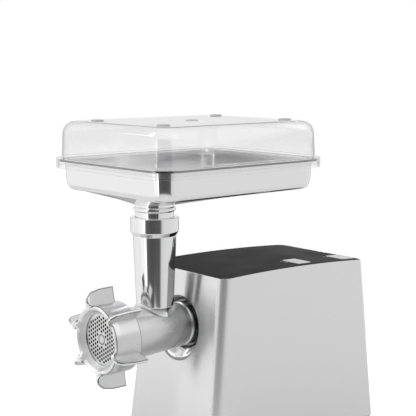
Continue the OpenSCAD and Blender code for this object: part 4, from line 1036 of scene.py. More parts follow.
@dataclass
class Head:
    """The casting: barrel with its bayonet neck, and the feed tube that rises from it."""

    n: int = 96
    fillet: float = 2.5
    s_low: float = 13.0
    s_high: float = 62.0
    spread: float = 75.0
    s_cells: int = 14
    foot_r: float = 19.45
    bore_foot_r: float = 16.6
    shade_s: float = 2.4
    plate_front: float = 105.5
    bush_bore: float = 4.3
    bush_r: float = 5.9
    bush_top_r: float = 5.5
    bush_rise: float = 0.35
    bush_foot: float = 0.2

    def barrel_r(self, s: float) -> float:
        """Returns the barrel's outer radius at s."""
        return 23.7 + (s - 11) * 3.3 / 67

    def bore_r(self, s: float) -> float:
        """Returns the barrel's inner radius at s."""
        return 20.1 + (s - 12) * 3.0 / 81.8

    def angles(self) -> list[float]:
        """Returns the angles of the lathe rows."""
        return [TAU * i / self.n for i in range(self.n)]

    def window(self) -> tuple[int, int, list[float]]:
        """Places the window for the tube.

        Returns:
            Its first and last angle number, and its rows along s.
        """
        step = 360 / self.n
        first, last = round((90 - self.spread) / step), round((90 + self.spread) / step)
        reach = self.s_high - self.s_low
        return first, last, [self.s_low + reach * k / self.s_cells for k in range(self.s_cells + 1)]

    def wall_with_window(
        self, skin: Skin, radius: Radius, before: list[Flat], after: list[Flat]
    ) -> list[list[int]]:
        """Adds a turned wall that leaves the tube's window open.

        Args:
            skin: the skin to add to.
            radius: the wall's radius between the window's ends.
            before: (r, s) path that leads to the window's first row.
            after: (r, s) path that follows its last row.

        Returns:
            The point numbers of every row, from before to after.
        """
        first, last, rows_s = self.window()
        path = before + [(radius(s), s) for s in rows_s] + after
        rows = [skin.loop([round_barrel(r, s, a) for a in self.angles()]) for r, s in path]
        start, end = len(before), len(before) + len(rows_s) - 1
        for k, (a, b) in enumerate(zip(rows, rows[1:])):
            # Rows behind shade_s get painted shade in dark steel, for the gap inside the throat.
            skin.tint = 2 if path[k + 1][1] < self.shade_s else 1
            for i in range(self.n):
                if start <= k < end and first <= i < last:
                    continue
                j = (i + 1) % self.n
                skin.face(a[i], a[j], b[j], b[i])
        return rows

    def window_edge(self, rows: list[list[int]], start: int) -> list[int]:
        """Returns the window's border points, once round.

        Args:
            rows: the wall's rows of point numbers.
            start: number of the window's first row.

        Returns:
            The point numbers.
        """
        first, last, rows_s = self.window()
        end = start + len(rows_s) - 1
        low = [rows[start][i] for i in range(first, last + 1)]
        right = [rows[k][last] for k in range(start + 1, end + 1)]
        high = [rows[end][i] for i in range(last - 1, first - 1, -1)]
        left = [rows[k][first] for k in range(end - 1, start, -1)]
        return low + right + high + left

    def crossing(
        self, radius: Radius, tube_r: float, fillet: float, phi: float
    ) -> tuple[Point, Point, Point]:
        """Finds where a ball of the fillet's size touches tube and barrel.

        Args:
            radius: the barrel's radius at s.
            tube_r: the tube's radius.
            fillet: the ball's radius.
            phi: angle round the tube.

        Returns:
            The ball's centre and its touching points on tube and barrel, as (x, s, h).
        """
        x = (tube_r + fillet) * math.cos(phi)
        s = LAY.tube_s + (tube_r + fillet) * math.sin(phi)
        big = radius(s) + fillet
        h = math.sqrt(max(big * big - x * x, 0.0))
        on_tube = (tube_r * math.cos(phi), LAY.tube_s + tube_r * math.sin(phi), h)
        k = radius(s) / big
        return (x, s, h), on_tube, (x * k, s, h * k)

    def branch(
        self, skin: Skin, border: list[int], radius: Radius, tube_r: float, fillet: float
    ) -> tuple[list[float], list[int]]:
        """Joins the window's border to the tube's foot with even quads.

        Args:
            skin: the skin to add to.
            border: the window's border points.
            radius: the wall's radius at s.
            tube_r: the tube's radius at its foot.
            fillet: the fillet's radius, or 0.

        Returns:
            The angle round the tube of each foot point, and the foot's point numbers.
        """
        def bearing(x: float, s: float, h: float) -> float:
            """Returns the bearing of a wall point from the tube's axis, on the unrolled wall."""
            turn = math.atan2(x, h) * radius(LAY.tube_s)
            return math.atan2(s - LAY.tube_s, turn)

        table = []
        for k in range(BEARINGS):
            phi = TAU * k / BEARINGS
            _, _, foot = self.crossing(radius, tube_r, fillet, phi)
            table.append((bearing(*foot) % TAU, phi))
        table.sort()
        phis, foots = [], []
        for number in border:
            x, y, z = skin.points[number]
            b = bearing(x, -y, z - LAY.z_axis) % TAU
            k = next((i for i, (v, _) in enumerate(table) if v > b), 0)
            (b0, p0), (b1, p1) = table[k - 1], table[k]
            if b1 < b0:
                b1, b = b1 + TAU, b + TAU if b < b0 else b
            if p1 < p0 - math.pi:
                p1 += TAU
            if p1 > p0 + math.pi:
                p0 += TAU
            phi = p0 + (p1 - p0) * (b - b0) / max(b1 - b0, 1e-9)
            phis.append(phi)
            foots.append(self.crossing(radius, tube_r, fillet, phi))
        loops = []
        steps = 6
        for k in range(1, steps + 1):
            t = k / steps
            loop = []
            for number, (_, _, (fx, fs, fh)) in zip(border, foots):
                x, y, z = skin.points[number]
                a0, s0 = math.atan2(x, z - LAY.z_axis), -y
                a1, s1 = math.atan2(fx, fh), fs
                a, s = a0 + (a1 - a0) * t, s0 + (s1 - s0) * t
                r = radius(s)
                loop.append((r * math.sin(a), -s, LAY.z_axis + r * math.cos(a)))
            loops.append(loop)
        if fillet:
            arc = 7
            for k in range(1, arc + 1):
                t = k / arc
                loop = []
                for c, on_tube, on_wall in foots:
                    a, b = Vector(on_wall) - Vector(c), Vector(on_tube) - Vector(c)
                    p = Vector(c) + a.slerp(b, t)
                    loop.append((p.x, -p.y, LAY.z_axis + p.z))
                loops.append(loop)
        rows = skin.loft(loops)
        skin.band(border, rows[0])
        return phis, rows[-1]

    def build(self) -> None:
        """Builds the casting as one closed skin."""
        skin = Skin()
        rear = [
            (11.6, -14.3), (21.4, -14.3), (22.0, -13.7), (22.0, 2.2), (22.8, 2.2), (23.2, 2.5), (23.4, 3.0),
            (23.4, 5.0), (23.0, 5.5), (22.3, 5.9), (22.15, 6.6), (22.15, 8.0), (22.6, 8.8), (23.3, 9.6),
            (23.6, 10.4),
        ]
        front = [
            *[(self.barrel_r(s), s) for s in (70, 76, 78.5)], (27.6, 79.6), (29.4, 80.6), (31.0, 81.2),
            (31.0, 84), (32.6, 85), (32.6, 103.8), (32.0, 104.4), (29.6, 104.4), (29.2, 104.0), (29.2, 99.5),
            (23.1, 99.5), (23.1, 93.8), (self.bore_r(80), 80), (self.bore_r(70), 70),
        ]
        skin.tint = 1
        outer = self.wall_with_window(skin, self.barrel_r, rear, front)
        border = self.window_edge(outer, len(rear))
        phis, foot = self.branch(skin, border, self.barrel_r, self.foot_r, self.fillet)
        inner_front = outer[-1]
        inner = self.wall_with_window(skin, self.bore_r, [(11.6, -0.3), (20.1, -0.3)], [])
        skin.band(inner[-1], inner_front)
        skin.band(outer[0], inner[0])
        inner_border = self.window_edge(inner, 2)
        inner_phis, inner_foot = self.branch(skin, inner_border, self.bore_r, self.bore_foot_r, 0.0)
        first = [skin.points[i][2] - LAY.z_axis for i in foot]
        rows = [foot]
        for r, h, rise in ((19.47, 25.4, 0.4), (19.5, 26.2, 0.8)):
            rows.append(skin.loop([round_tube(r, max(h, low + rise), phi) for low, phi in zip(first, phis)]))
        # The rows at the tube's foot take the bright edge finish, a painted highlight line.
        skin.tint = 4
        for a, b in zip(rows, rows[1:]):
            skin.band(a, b)
        skin.tint = 0
        rows = rows[-1:]
        for h in (27.0, 34, 44, 56, 68, 80, 90, 98.5):
            r = self.foot_r + (h - 24) * 2.85 / 74.5 if h < 97 else 22.25
            rows.append(skin.loop([round_tube(r, max(h, low + 1.4), phi) for low, phi in zip(first, phis)]))
        cup = [
            (22.25, 98.9), (22.1, 99.1), (22.3, 99.4), (24.9, 103.3, 2.5), (24.9, 118.5, 1.0),
            (20.2, 118.5, 0.6), (20.2, 98.2), (17.5, 98.2), (16.9, 60.0),
        ]
        for r, h in softened(cup, 5):
            rows.append(skin.loop([round_tube(r, h, phi) for phi in phis]))
        lows = [skin.points[i][2] - LAY.z_axis for i in inner_foot]
        for a, b in zip(rows, rows[1:]):
            skin.band(a, b)
        bore = [round_tube(self.bore_foot_r, max(28.0, low + 0.5), phi) for low, phi in zip(lows, inner_phis)]
        last = skin.loop(bore)
        skin.band(rows[-1], last)
        skin.band(last, inner_foot)
        for i in range(3):
            self.lug(skin, math.radians(90 + 120 * i))
        finishes = (POLISHED_TUBE, SATIN, PAINTED_SHADE_STEEL, RING_CONE, PAINTED_HIGHLIGHT_EDGE)
        skin.build("head_casting", Dress("head", "head_aluminium", finishes, ("grinder_head",)), 38.0)
        self.bush()

    def bush(self) -> None:
        """Builds the thin raised collar round the plate's middle hole, in painted shade so that it reads as a
        dark ring.
        """
        skin = Skin()
        foot, top = self.plate_front - self.bush_foot, self.plate_front + self.bush_rise
        path = [(self.bush_bore, foot), (self.bush_bore, top), (self.bush_top_r, top), (self.bush_r, foot)]
        skin.lathe(path, round_barrel, 48)
        skin.build("plate_bush", Dress("head", "tray_steel", (PAINTED_SHADE_STEEL,)), 30.0)

    def lug(self, skin: Skin, middle: float) -> None:
        """Adds one bayonet lug on the neck.

        Args:
            skin: the skin to add to.
            middle: angle of the lug's middle.
        """
        skin.tint = 1
        angles = [middle + math.radians(-11.5 + 23 * k / 8) for k in range(9)]
        section = ((21.6, -12.0), (25.0, -12.0), (25.4, -11.6), (25.4, -8.2), (25.0, -7.8), (21.6, -7.8))
        lines = [skin.loop([round_barrel(r, s, a) for a in angles]) for r, s in section]
        for p, q in zip(lines, lines[1:] + lines[:1]):
            skin.band(p, q, False)
        skin.face(*[line[0] for line in lines])
        skin.face(*[line[-1] for line in lines])


@dataclass
class ScrewRing:
    """The winged ring that holds the plate: body with a turned lip, and six wings that flow out of it."""

    wings: int = 6
    first: float = 102.4
    ring_r: float = 36.0
    thread_r: float = 32.9
    cone_r: float = 31.0
    line_r: float = 33.0
    lip_band: float = 1.2
    line_band: float = 2.6
    rear: float = 82.0
    lip: float = 113.4
    face: float = 105.8
    mouth: float = 26.5
    half: float = 1.45
    segments: int = 288
    lead: float = 3.6
    flow: float = 9.0

    def forward(self, a: float) -> float:
        """Returns how far the lip flows forwards at angle a, up into the nearest wing."""
        step = 360 / self.wings
        off = (math.degrees(a) - self.first + step / 2) % step - step / 2
        return self.lead * eased(1 - abs(off) / self.flow)

    def body(self, skin: Skin) -> None:
        """Adds the turned body with its lip.

        Args:
            skin: the skin to add to.
        """
        r, lip = self.ring_r, self.lip
        path = softened([
            (self.thread_r, self.rear, 0.3), (r - 0.6, self.rear, 0.8), (r, self.rear + 1.2, 1),
            (r, lip - 7.5, 6), (r - 0.9, lip - 1.6, 1.6), (r - 2.2, lip, 1.2), (r - 3.4, lip - 0.1, 1.0),
            (r - 5.2, lip - 1.9, 2.0), (28.0, lip - 5.2, 1.5), (self.mouth, self.face + 1.2, 0.5),
            (self.mouth, self.face + 0.3, 0.1), (self.thread_r, self.face + 0.3, 0.1),
        ], 5, True)
        loops = []
        for pr, ps in path:
            share = eased((ps - (lip - 9)) / 9) if pr > 30.5 else 0.0
            row_points = []
            for i in range(self.segments):
                a = TAU * i / self.segments
                row_points.append(round_barrel(pr, ps + share * self.forward(a), a))
            loops.append(row_points)
        skin.loft(loops, True, True)
        for k, ((r0, s0), (r1, s1)) in enumerate(zip(path, path[1:] + path[:1])):
            tone = self.tone((r0 + r1) / 2, (s0 + s1) / 2)
            skin.tints[k * self.segments:(k + 1) * self.segments] = [tone] * self.segments

    def tone(self, r: float, s: float) -> int:
        """Returns the finish number of the body's surface.

        Args:
            r: radius of the place.
            s: its distance forwards.

        Returns:
            1 on the lip's painted highlight, 2 on the turned face inside it, 3 on the painted shade line
            behind it, or 0.
        """
        if s > self.lip - self.lip_band:
            return 2 if r < self.cone_r else 1
        if r < self.cone_r and s > self.face + 1:
            return 2
        return 3 if r > self.line_r and s > self.lip - self.line_band else 0

    def wing_outline(self) -> list[Flat]:
        """Makes a wing's outline.

        Returns:
            The points (r, s), from the rear root round the tip to the lip.
        """
        corners = [
            (self.ring_r - 3.0, self.rear + 2.0), (51.2, self.rear + 2.0, 0.8), (51.0, 101.0, 30),
            (48.6, 112.6, 7), (44.0, 117.6, 5), (39.6, 119.0, 3.4), (34.8, 116.4, 2.5), (33.0, 112.6),
            (33.0, self.face + 1.5),
        ]
        return softened(corners, 6)

    def wing(self, skin: Skin, turn: float) -> None:
        """Adds one wing with rounded edges and a filleted root.

        Args:
            skin: the skin to add to.
            turn: the wing's angle round the barrel's axis.
        """
        path = self.wing_outline()
        c, q = math.cos(turn), math.sin(turn)

        def at(r: float, s: float, t: float) -> Point:
            """Returns the place at radius r, s forwards and t to the wing's side."""
            return (r * c - t * q, -s, LAY.z_axis + r * q + t * c)

        inner = self._shrunk(path, 1.3)
        mid = self._shrunk(path, 0.45)
        half = [(inner, self.half), (mid, self.half * 0.86), (path, self.half * 0.35)]
        rows = []
        for line, t in half + [(line, -t) for line, t in reversed(half)]:
            side = math.copysign(1, t)
            rows.append(skin.loop([at(r, s, t + self.flare(r) * side) for r, s in line]))
        for k, (a, b) in enumerate(zip(rows, rows[1:])):
            # The wing's rim band gets a painted highlight, and the bands where its faces turn into the
            # rounding get painted shade.
            skin.tint = 1 if k == 2 else 3 if k in (0, 4) else 0
            skin.band(a, b)
        skin.tint = 0
        for numbers in (rows[0], rows[-1]):
            skin.fill(numbers)

    def flare(self, r: float) -> float:
        """Returns the extra half thickness near the root, which makes the fillet."""
        reach = 3.2
        t = max(0.0, 1 - (r - self.ring_r + 0.4) / reach)
        return 2.2 * min(t, 1.3) ** 2.2 if r > self.ring_r - 2 else 0.0

    def _shrunk(self, path: Sequence[Flat], by: float) -> list[Flat]:
        """Draws an outline in from its free edges.

        Args:
            path: the outline.
            by: how far.

        Returns:
            The smaller outline.
        """
        out = []
        n = len(path)
        for i, (r, s) in enumerate(path):
            a, b = Vector(path[max(i - 1, 0)]), Vector(path[min(i + 1, n - 1)])
            run = (b - a).normalized()
            inward = Vector((-run.y, run.x))
            if i in (0, n - 1):
                inward = Vector((0, 1 if i == 0 else 0))
            out.append((r + inward.x * by, s + inward.y * by))
        return out

    def build(self) -> None:
        """Builds the ring as one piece."""
        skin = Skin()
        self.body(skin)
        for k in range(self.wings):
            self.wing(skin, math.radians(self.first + 360 * k / self.wings))
        finishes = (RING_SATIN, PAINTED_HIGHLIGHT_EDGE, RING_CONE, PAINTED_SHADE_LINE)
        skin.build("winged_ring", Dress("ring", "ring_aluminium", finishes, ("screw_ring",)), 34.0)


@dataclass
class Tray:
    """The pressed steel tray with its funnel and neck."""

    w: float = 176.2
    d: float = 209.0
    corner: float = 18.0
    sheet: float = 1.0
    bend: float = 8.0
    depth: float = 32.0
    lean: float = 1.2
    neck_r: float = 19.9
    neck_rise: float = 12.5
    flange_w: float = 188.4
    flange_d: float = 221.2
    corner_steps: int = 10
    along: Flat = (6, 8)
    roll: tuple[Flat, ...] = ((0.5, 0.0), (0.0, 0.3), (0.0, 1.9), (0.3, 2.2), (0.8, 2.2), (1.1, 1.0))

    def level(self, w: float, d: float, r: float, z: float) -> list[Point]:
        """Returns a rounded rectangle at height z round the tray's middle."""
        flat = round_rect(w, d, max(r, 1.0), self.corner_steps, self.along, FLAT_LEAD)
        return [(x, y + LAY.tray_y, z) for x, y in flat]

    def bent(self, inset: float) -> list[list[Point]]:
        """Makes the wall and its bend, from the rim down.

        Args:
            inset: how far the loops are drawn in.

        Returns:
            The loops.
        """
        rim, foot = LAY.rim_z, LAY.rim_z - self.depth
        wall = (
            (rim - 1.2, 0.0), (rim - 3, 0.05), (rim - 8, 0.25), (rim - 8.8, 0.35), (rim - 9.6, 0.45),
            (foot + self.bend + 3, 1.15),
        )
        loops = []
        for z, lean in wall:
            q = lean + inset
            loops.append(self.level(self.w - 2 * q, self.d - 2 * q, self.corner - q, z))
        r = self.bend - inset
        for k in range(8):
            a = math.pi / 2 * k / 7
            q = self.lean + self.bend - r * math.cos(a)
            z = foot + self.bend - r * math.sin(a)
            loops.append(self.level(self.w - 2 * q, self.d - 2 * q, self.corner - q + 2, z))
        return loops

    def funnel(self, inset: float) -> list[list[Point]]:
        """Makes the floor, which falls to the neck.

        Args:
            inset: how far the loops lie above the underside.

        Returns:
            The loops, from the bend to the neck.
        """
        q = self.bend + 3
        foot = LAY.rim_z - self.depth + inset
        outer = self.level(self.w - 2 * q, self.d - 2 * q, self.corner - q + 2, foot)
        neck_z = LAY.z_axis + LAY.tube_top + self.neck_rise + inset
        r = self.neck_r - inset
        loops = []
        for k in range(9):
            t = k / 8
            loop = []
            for x, y, z in outer:
                a = math.atan2(y + LAY.tube_s, x)
                end = (r * math.cos(a), r * math.sin(a) - LAY.tube_s, neck_z)
                loop.append(tuple(v + (w - v) * t for v, w in zip((x, y, z), end)))
            loops.append(loop)
        return loops

    def neck(self, outer: Sequence[Point]) -> list[list[Point]]:
        """Makes the neck with its bead, down its outside and up its inside.

        Args:
            outer: the loop at which the floor ends.

        Returns:
            The loops.
        """
        top = LAY.z_axis + LAY.tube_top
        r, bead, bore = self.neck_r, self.neck_r + 2.1, self.neck_r - 1.3
        path = softened([
            (r, top + 12.0), (r, top + 11.4, 0.6), (r + 0.3, top + 10.6, 0.5), (21.3, top + 9.9, 0.8),
            (bead, top + 8.6, 0.8), (bead, top + 7.2, 0.8), (21.3, top + 6.2, 0.8), (r + 0.4, top + 5.8, 0.4),
            (r, top + 5.2, 0.4), (r, top + 0.6), (r, top - 19), (r - 0.4, top - 20), (bore + 0.2, top - 20),
            (bore, top - 19), (bore, top + 12.0),
        ], 4)
        angles = [math.atan2(y + LAY.tube_s, x) for x, y, _ in outer]
        return [[(r * math.cos(a), r * math.sin(a) - LAY.tube_s, z) for a in angles] for r, z in path]

    def build(self) -> None:
        """Builds the tray as one closed sheet."""
        skin = Skin()
        rim = LAY.rim_z
        fr = self.corner + 6
        outer_funnel, inner_funnel = self.funnel(0), self.funnel(self.sheet)
        w, d, fw, fd = self.w, self.d, self.flange_w, self.flange_d
        lip = [
            self.level(w - 2.4, d - 2.4, self.corner - 1, rim - 1.0),
            self.level(w - 1.2, d - 1.2, self.corner - 0.6, rim - 0.2),
            self.level(w + 0.4, d + 0.4, self.corner, rim),
            *[self.level(fw - 2 * q, fd - 2 * q, fr - q, rim - drop) for q, drop in self.roll],
            self.level(w + 1, d + 1, self.corner, rim - 1.0),
        ]
        outside, inside = self.bent(0), self.bent(self.sheet)[::-1][:-1]
        loops = lip + outside + outer_funnel + self.neck(outer_funnel[-1]) + inner_funnel[::-1] + inside
        skin.loft(loops, True, True)
        n = len(loops[0])
        floor = range(len(lip) + len(outside) - 1, len(lip) + len(outside) + len(outer_funnel))
        inner = len(loops) - len(inner_funnel) - len(inside)
        for k in range(len(loops)):
            # The rolled rim gets painted shade in dark steel; the inside and the floor take the inside
            # finish.
            kind = 1 if 3 <= k <= 8 else 2 if k >= inner or k == 0 or k in floor else 0
            skin.tints[k * n:(k + 1) * n] = [kind] * n
        finishes = (POLISHED, PAINTED_SHADE_STEEL, TRAY_INSIDE)
        skin.build("hopper_tray", Dress("tray", "tray_steel", finishes, ("tray", "tray_neck")), 40.0)


@dataclass
class Lid:
    """The clear lid with its flange, hanging skirt and stacking pegs."""

    w: float = 182.6
    d: float = 215.4
    height: float = 39.4
    t: float = 2.0
    thin: float = 0.9
    edge: float = 13.0
    taper: float = 1.2
    flange: float = 5.6
    skirt: float = 11.0
    corner: float = 21.0
    peg_back: float = 4.6
    peg_x: float = 55.2
    peg_y: float = 81.8
    closing: float = 0.9
    corner_steps: int = 10

    def level(self, grow: float, z: float, r: float) -> list[Point]:
        """Returns the lid's outline grown by grow at height z."""
        w, d = self.w + 2 * grow, self.d + 2 * grow
        flat = round_rect(w, d, max(r, 1.0), self.corner_steps, (2, 2), FLAT_LEAD)
        return [(x, y + LAY.tray_y, z) for x, y in flat]

    def dome(self, inset: float) -> list[list[Point]]:
        """Makes the wall and the rounded top.

        Args:
            inset: how far the loops are drawn in.

        Returns:
            The loops, from the flange up.
        """
        base = LAY.rim_z + 0.3
        top = base + self.height - inset
        loops = []
        start = base + self.t if inset == 0 else base
        end = base + self.height - self.edge
        for k in range(3):
            t = k / 2
            z = start + (end - start) * t
            lean = self.taper * (z - base) / (self.height - self.edge)
            loops.append(self.level(-inset - lean, z, self.corner - inset - lean))
        r = self.edge - inset
        for k in range(1, 9):
            a = math.pi / 2 * k / 8
            q = self.taper + self.edge - r * math.cos(a)
            loops.append(self.level(-q, top - r + r * math.sin(a), max(self.corner - q, 3)))
        return loops

    def build(self) -> None:
        """Builds the lid as one closed moulding with its pegs."""
        skin = Skin()
        base, f, t = LAY.rim_z + 0.3, self.flange, self.t
        fr = self.corner + self.flange
        foot = base + t - self.skirt
        outside = [
            self.level(f - t, foot + 0.3, fr - t), self.level(f - t + 0.3, foot, fr - t),
            self.level(f - 0.4, foot, fr), self.level(f, foot + 0.5, fr), self.level(f, base + t - 0.9, fr),
            self.level(f - 0.3, base + t - 0.25, fr), self.level(f - 0.9, base + t, fr - 0.6),
            self.level(0.9, base + t, self.corner + 0.6), self.level(0.25, base + t + 0.25, self.corner),
        ]
        outer, inner = self.dome(0), self.dome(self.thin)
        outer[0] = self.level(0.0, base + t + 0.9, self.corner)
        inside = [
            self.level(-t, base, self.corner - t), self.level(f - t - 0.4, base, fr - t),
            self.level(f - t, base - 0.4, fr - t),
        ]
        a = skin.loft(outside + outer)
        b = skin.loft(inner[::-1] + inside)
        skin.band(b[-1], a[0])
        self.close(skin, a[-1])
        self.close(skin, b[0])
        top = base + self.height
        for x, y, rise in ((-1, -1, 1.3), (1, -1, 1.3), (-1, 1, 1.3), (1, 1, 1.3), (0, 0, 0.6)):
            place = (x * self.peg_x, LAY.tray_y + self.peg_back + y * self.peg_y, top)
            self.peg(skin, place, rise)
        skin.build("clear_lid", Dress("lid", "lid_clear", (CLEAR, PEG), ("lid",)), 35.0)

    def close(self, skin: Skin, numbers: Sequence[int]) -> None:
        """Closes the flat top inside a loop with an inner loop and one flat face.

        Args:
            skin: the skin to add to.
            numbers: point numbers of the loop.
        """
        middle = (0.0, LAY.tray_y, skin.points[numbers[0]][2])
        inner = [tuple(m + (v - m) * self.closing for v, m in zip(skin.points[i], middle)) for i in numbers]
        ring = skin.loop(inner)
        skin.band(numbers, ring)
        skin.face(*ring)

    def peg(self, skin: Skin, at: Point, rise: float) -> None:
        """Adds one low round peg that sits on the lid's top.

        Args:
            skin: the skin to add to.
            at: the middle of the peg's foot.
            rise: the peg's height.
        """
        skin.tint = 1
        x, y, z = at
        corners = [(0.0, z + rise), (6.2, z + rise, 0.8), (7.0, z - 0.2, 0.5), (7.0, z - 0.6), (0.0, z - 0.6)]
        path = softened(corners, 4)
        skin.lathe(path, lambda r, h, a: (x + r * math.cos(a), y + r * math.sin(a), h), 40, False)


# Stage: floor, world, lamps and camera


@dataclass
class Studio:
    """The pale room, its lamps and the camera."""

    azimuth: float = 49.233
    pitch: float = 7.935
    lens: float = 90.619
    eye: Point = (843.19, -691.96, 416.5)
    sensor: float = 36.0
    floor_half: float = 0.46
    floor_glow: float = 0.5
    floor_mirrored: float = 0.1
    plain: float = 0.8
    overhead: float = 0.92
    ground: float = 0.75
    flag_depth: float = 0.7
    overhead_from: float = 0.56
    overhead_full: float = 0.76
    strip_from: float = 0.8
    strip_full: float = 0.97
    strip_low: float = -0.06
    ground_from: float = -0.3
    ground_full: float = -0.55

    def camera(self) -> None:
        """Makes the camera at the photograph's viewpoint."""
        data = bpy.data.cameras.new("camera")
        data.lens = self.lens
        data.sensor_width = self.sensor
        data.clip_end = 50.0
        camera = bpy.data.objects.new("camera", data)
        camera.location = row(self.eye)
        camera.rotation_euler = (math.radians(90 - self.pitch), 0.0, math.radians(self.azimuth))
        bpy.context.scene.collection.objects.link(camera)
        bpy.context.scene.camera = camera

    def paths(self, kit: Nodes) -> tuple[bpy.types.NodeSocket, bpy.types.NodeSocket]:
        """Tells mirrored light from light that the camera sees straight or through glass.

        Args:
            kit: the world's or a material's nodes.

        Returns:
            The mask of mirrored light and the mask of light seen straight.
        """
        ray = kit.add("ShaderNodeLightPath")
        once = kit.maths("MINIMUM", ray.outputs["Glossy Depth"], 1.0)
        soft = kit.maths("MINIMUM", ray.outputs["Diffuse Depth"], 1.0)
        mirrored = kit.maths("MULTIPLY", once, kit.maths("SUBTRACT", 1.0, soft))
        straight = kit.maths("MAXIMUM", ray.outputs["Is Camera Ray"], ray.outputs["Is Transmission Ray"])
        return mirrored, kit.maths("MULTIPLY", straight, kit.maths("SUBTRACT", 1.0, once))

    def floor(self) -> None:
        """Makes the pale floor, white to the camera but with the object's soft shadow."""
        mesh = bpy.data.meshes.new("floor")
        half, z = self.floor_half, -0.0002
        corners = [(-half, -half, z), (half, -half, z), (half, half, z), (-half, half, z)]
        mesh.from_pydata(corners, [], [(0, 1, 2, 3)])
        floor = bpy.data.objects.new("floor", mesh)
        bpy.context.scene.collection.objects.link(floor)
        material = bpy.data.materials.new("pale_floor")
        material.use_nodes = True
        kit = Nodes(material.node_tree)
        material.node_tree.nodes.clear()
        out = kit.add("ShaderNodeOutputMaterial")
        diffuse = kit.add("ShaderNodeBsdfDiffuse", in_Color=(0.85, 0.85, 0.85, 1))
        glow = kit.add("ShaderNodeEmission", in_Color=(1, 1, 1, 1), in_Strength=self.floor_glow)
        dark = kit.add("ShaderNodeEmission", in_Strength=0.0)
        mirrored, clear = self.paths(kit)
        seen = kit.maths("MAXIMUM", clear, kit.maths("MULTIPLY", mirrored, self.floor_mirrored))
        pick = kit.add("ShaderNodeMixShader")
        kit.join(seen, pick.inputs[0])
        kit.join(dark.outputs[0], pick.inputs[1])
        kit.join(glow.outputs[0], pick.inputs[2])
        both = kit.add("ShaderNodeAddShader")
        kit.join(diffuse.outputs[0], both.inputs[0])
        kit.join(pick.outputs[0], both.inputs[1])
        kit.join(both.outputs[0], out.inputs["Surface"])
        floor.data.materials.append(material)

    def world(self) -> None:
        """Makes the white room: plain light, with dark flags and a bright strip that only mirrors see."""
        world = bpy.data.worlds.new("room")
        bpy.context.scene.world = world
        world.use_nodes = True
        kit = Nodes(world.node_tree)
        world.node_tree.nodes.clear()
        out = kit.add("ShaderNodeOutputWorld")
        place = kit.add("ShaderNodeTexCoord")
        split = kit.add("ShaderNodeSeparateXYZ")
        kit.join(place.outputs["Generated"], split.inputs[0])
        around = kit.maths("ARCTAN2", split.outputs["Y"], split.outputs["X"])
        share = kit.maths("ADD", kit.maths("DIVIDE", around, TAU), 0.5)
        ramp = kit.add("ShaderNodeValToRGB")
        kit.join(share, ramp.inputs[0])
        self.bands(ramp.color_ramp)
        up = kit.add("ShaderNodeValToRGB")
        kit.join(kit.maths("ADD", kit.maths("MULTIPLY", split.outputs["Z"], 0.5), 0.5), up.inputs[0])
        stops = up.color_ramp.elements
        stops[0].position, stops[0].color = self.overhead_from, (0, 0, 0, 1)
        stops[1].position, stops[1].color = self.overhead_full, (1, 1, 1, 1)
        mirror = kit.add("ShaderNodeMix", data_type="RGBA")
        kit.join(up.outputs[0], mirror.inputs["Factor"])
        kit.join(self.behind(kit, split, ramp.outputs[0]), mirror.inputs["A"])
        mirror.inputs["B"].default_value = (self.overhead, self.overhead, self.overhead, 1)
        mirrored, clear = self.paths(kit)
        glossy = kit.add("ShaderNodeMix", data_type="RGBA")
        kit.join(mirrored, glossy.inputs["Factor"])
        glossy.inputs["A"].default_value = (self.plain, self.plain, self.plain, 1)
        kit.join(mirror.outputs["Result"], glossy.inputs["B"])
        white = kit.add("ShaderNodeMix", data_type="RGBA")
        kit.join(clear, white.inputs["Factor"])
        kit.join(glossy.outputs["Result"], white.inputs["A"])
        white.inputs["B"].default_value = (1, 1, 1, 1)
        back = kit.add("ShaderNodeBackground", in_Strength=1.0)
        kit.join(white.outputs["Result"], back.inputs["Color"])
        kit.join(back.outputs[0], out.inputs["Surface"])

    def behind(
        self, kit: Nodes, split: bpy.types.Node, level: bpy.types.NodeSocket
    ) -> bpy.types.NodeSocket:
        """Returns the room's brightness with a darker low strip behind the object and a pale ground.

        Args:
            kit: the world's nodes.
            split: the node that gives the direction's parts.
            level: the brightness from the bearing alone.

        Returns:
            The changed brightness.
        """
        far = math.radians(90 + self.azimuth)
        along = kit.maths("ADD", kit.maths("MULTIPLY", split.outputs["X"], math.cos(far)),
                          kit.maths("MULTIPLY", split.outputs["Y"], math.sin(far)))
        near = kit.add("ShaderNodeMapRange", interpolation_type="SMOOTHSTEP")
        kit.join(along, near.inputs["Value"])
        near.inputs["From Min"].default_value = self.strip_from
        near.inputs["From Max"].default_value = self.strip_full
        low = kit.add("ShaderNodeMapRange", interpolation_type="SMOOTHSTEP")
        kit.join(split.outputs["Z"], low.inputs["Value"])
        low.inputs["From Min"].default_value = 0.0
        low.inputs["From Max"].default_value = self.strip_low
        strip = kit.maths("MULTIPLY", near.outputs[0], low.outputs[0])
        kept = kit.maths("SUBTRACT", 1.0, kit.maths("MULTIPLY", strip, self.flag_depth))
        ground = kit.add("ShaderNodeMapRange", interpolation_type="SMOOTHSTEP")
        kit.join(split.outputs["Z"], ground.inputs["Value"])
        ground.inputs["From Min"].default_value = self.ground_from
        ground.inputs["From Max"].default_value = self.ground_full
        mix = kit.add("ShaderNodeMix", data_type="RGBA")
        kit.join(ground.outputs[0], mix.inputs["Factor"])
        kit.join(kit.maths("MULTIPLY", level, kept), mix.inputs["A"])
        mix.inputs["B"].default_value = (self.ground, self.ground, self.ground, 1)
        return mix.outputs["Result"]

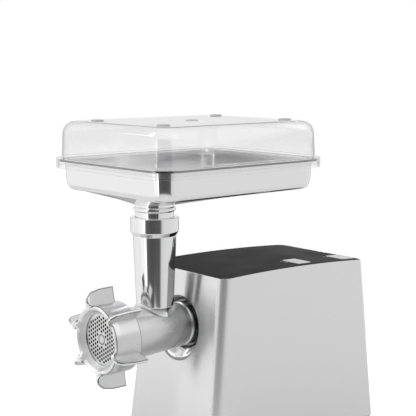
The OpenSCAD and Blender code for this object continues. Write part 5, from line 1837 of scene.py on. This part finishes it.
    def bands(self, ramp: bpy.types.ColorRamp) -> None:
        """Sets the room's brightness against the bearing, from -180 to 180 degrees.

        Args:
            ramp: the ramp to fill.
        """
        stops = [
            (-180, 0.93), (-150, 0.97), (-124, 0.97), (-110, 1.1), (-99, 1.05), (-96, 0.9), (-94, 2.0),
            (-87, 2.0), (-83, 0.12), (-60, 0.08), (-41, 0.08), (-14, 0.1), (-7, 0.2), (-2, 0.7), (20, 0.78),
            (45, 0.8), (90, 0.86), (140, 0.9), (180, 0.93),
        ]
        ramp.interpolation = "LINEAR"
        while len(ramp.elements) > 1:
            ramp.elements.remove(ramp.elements[-1])
        for k, (degrees, value) in enumerate(stops):
            position = (degrees + 180) / 360
            stop = ramp.elements[0] if k == 0 else ramp.elements.new(position)
            stop.position = position
            stop.color = (value, value, value, 1)

    def lamps(self) -> None:
        """Makes one large soft key lamp from the upper left and a weak fill."""
        for name, power, size, where in (
            ("key_lamp", 8.0, 1.2, (-1.5, -1.5, 1.9)),
            ("fill_lamp", 3.0, 1.6, (1.9, 0.6, 1.6)),
        ):
            data = bpy.data.lights.new(name, "AREA")
            data.energy = power
            data.size = size
            lamp = bpy.data.objects.new(name, data)
            lamp.location = where
            lamp.rotation_euler = (Vector((0, 0, 0.2)) - Vector(where)).to_track_quat("-Z", "Y").to_euler()
            bpy.context.scene.collection.objects.link(lamp)

    def build(self) -> None:
        """Sets up the whole studio."""
        self.camera()
        self.floor()
        self.world()
        self.lamps()
        bpy.context.scene.view_settings.view_transform = "Standard"


def dress_nodes() -> None:
    """Gives every CAD node that stays in view, or inside, its finish."""
    for name, finish in NODE_FINISHES.items():
        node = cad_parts[name]
        if name == "hole_plate":
            # The hole plate's bores get painted shade behind its front face.
            front = min(vertex.co.y for vertex in node.data.vertices)
            finish = replace(finish, name="ground_plate_bore_shade", front=front)
        node.data.materials.clear()
        node.data.materials.append(finish.material())
        LOG.info("finish of %s", name)


def main() -> None:
    """Builds the studio and every piece, in order."""
    logging.basicConfig(level=logging.INFO, format="%(message)s")
    Studio().build()
    dress_nodes()
    for part in (Housing(), Head(), ScrewRing(), Tray(), Lid()):
        part.build()
    bpy.context.view_layer.update()


if __name__ == "__main__":
    main()
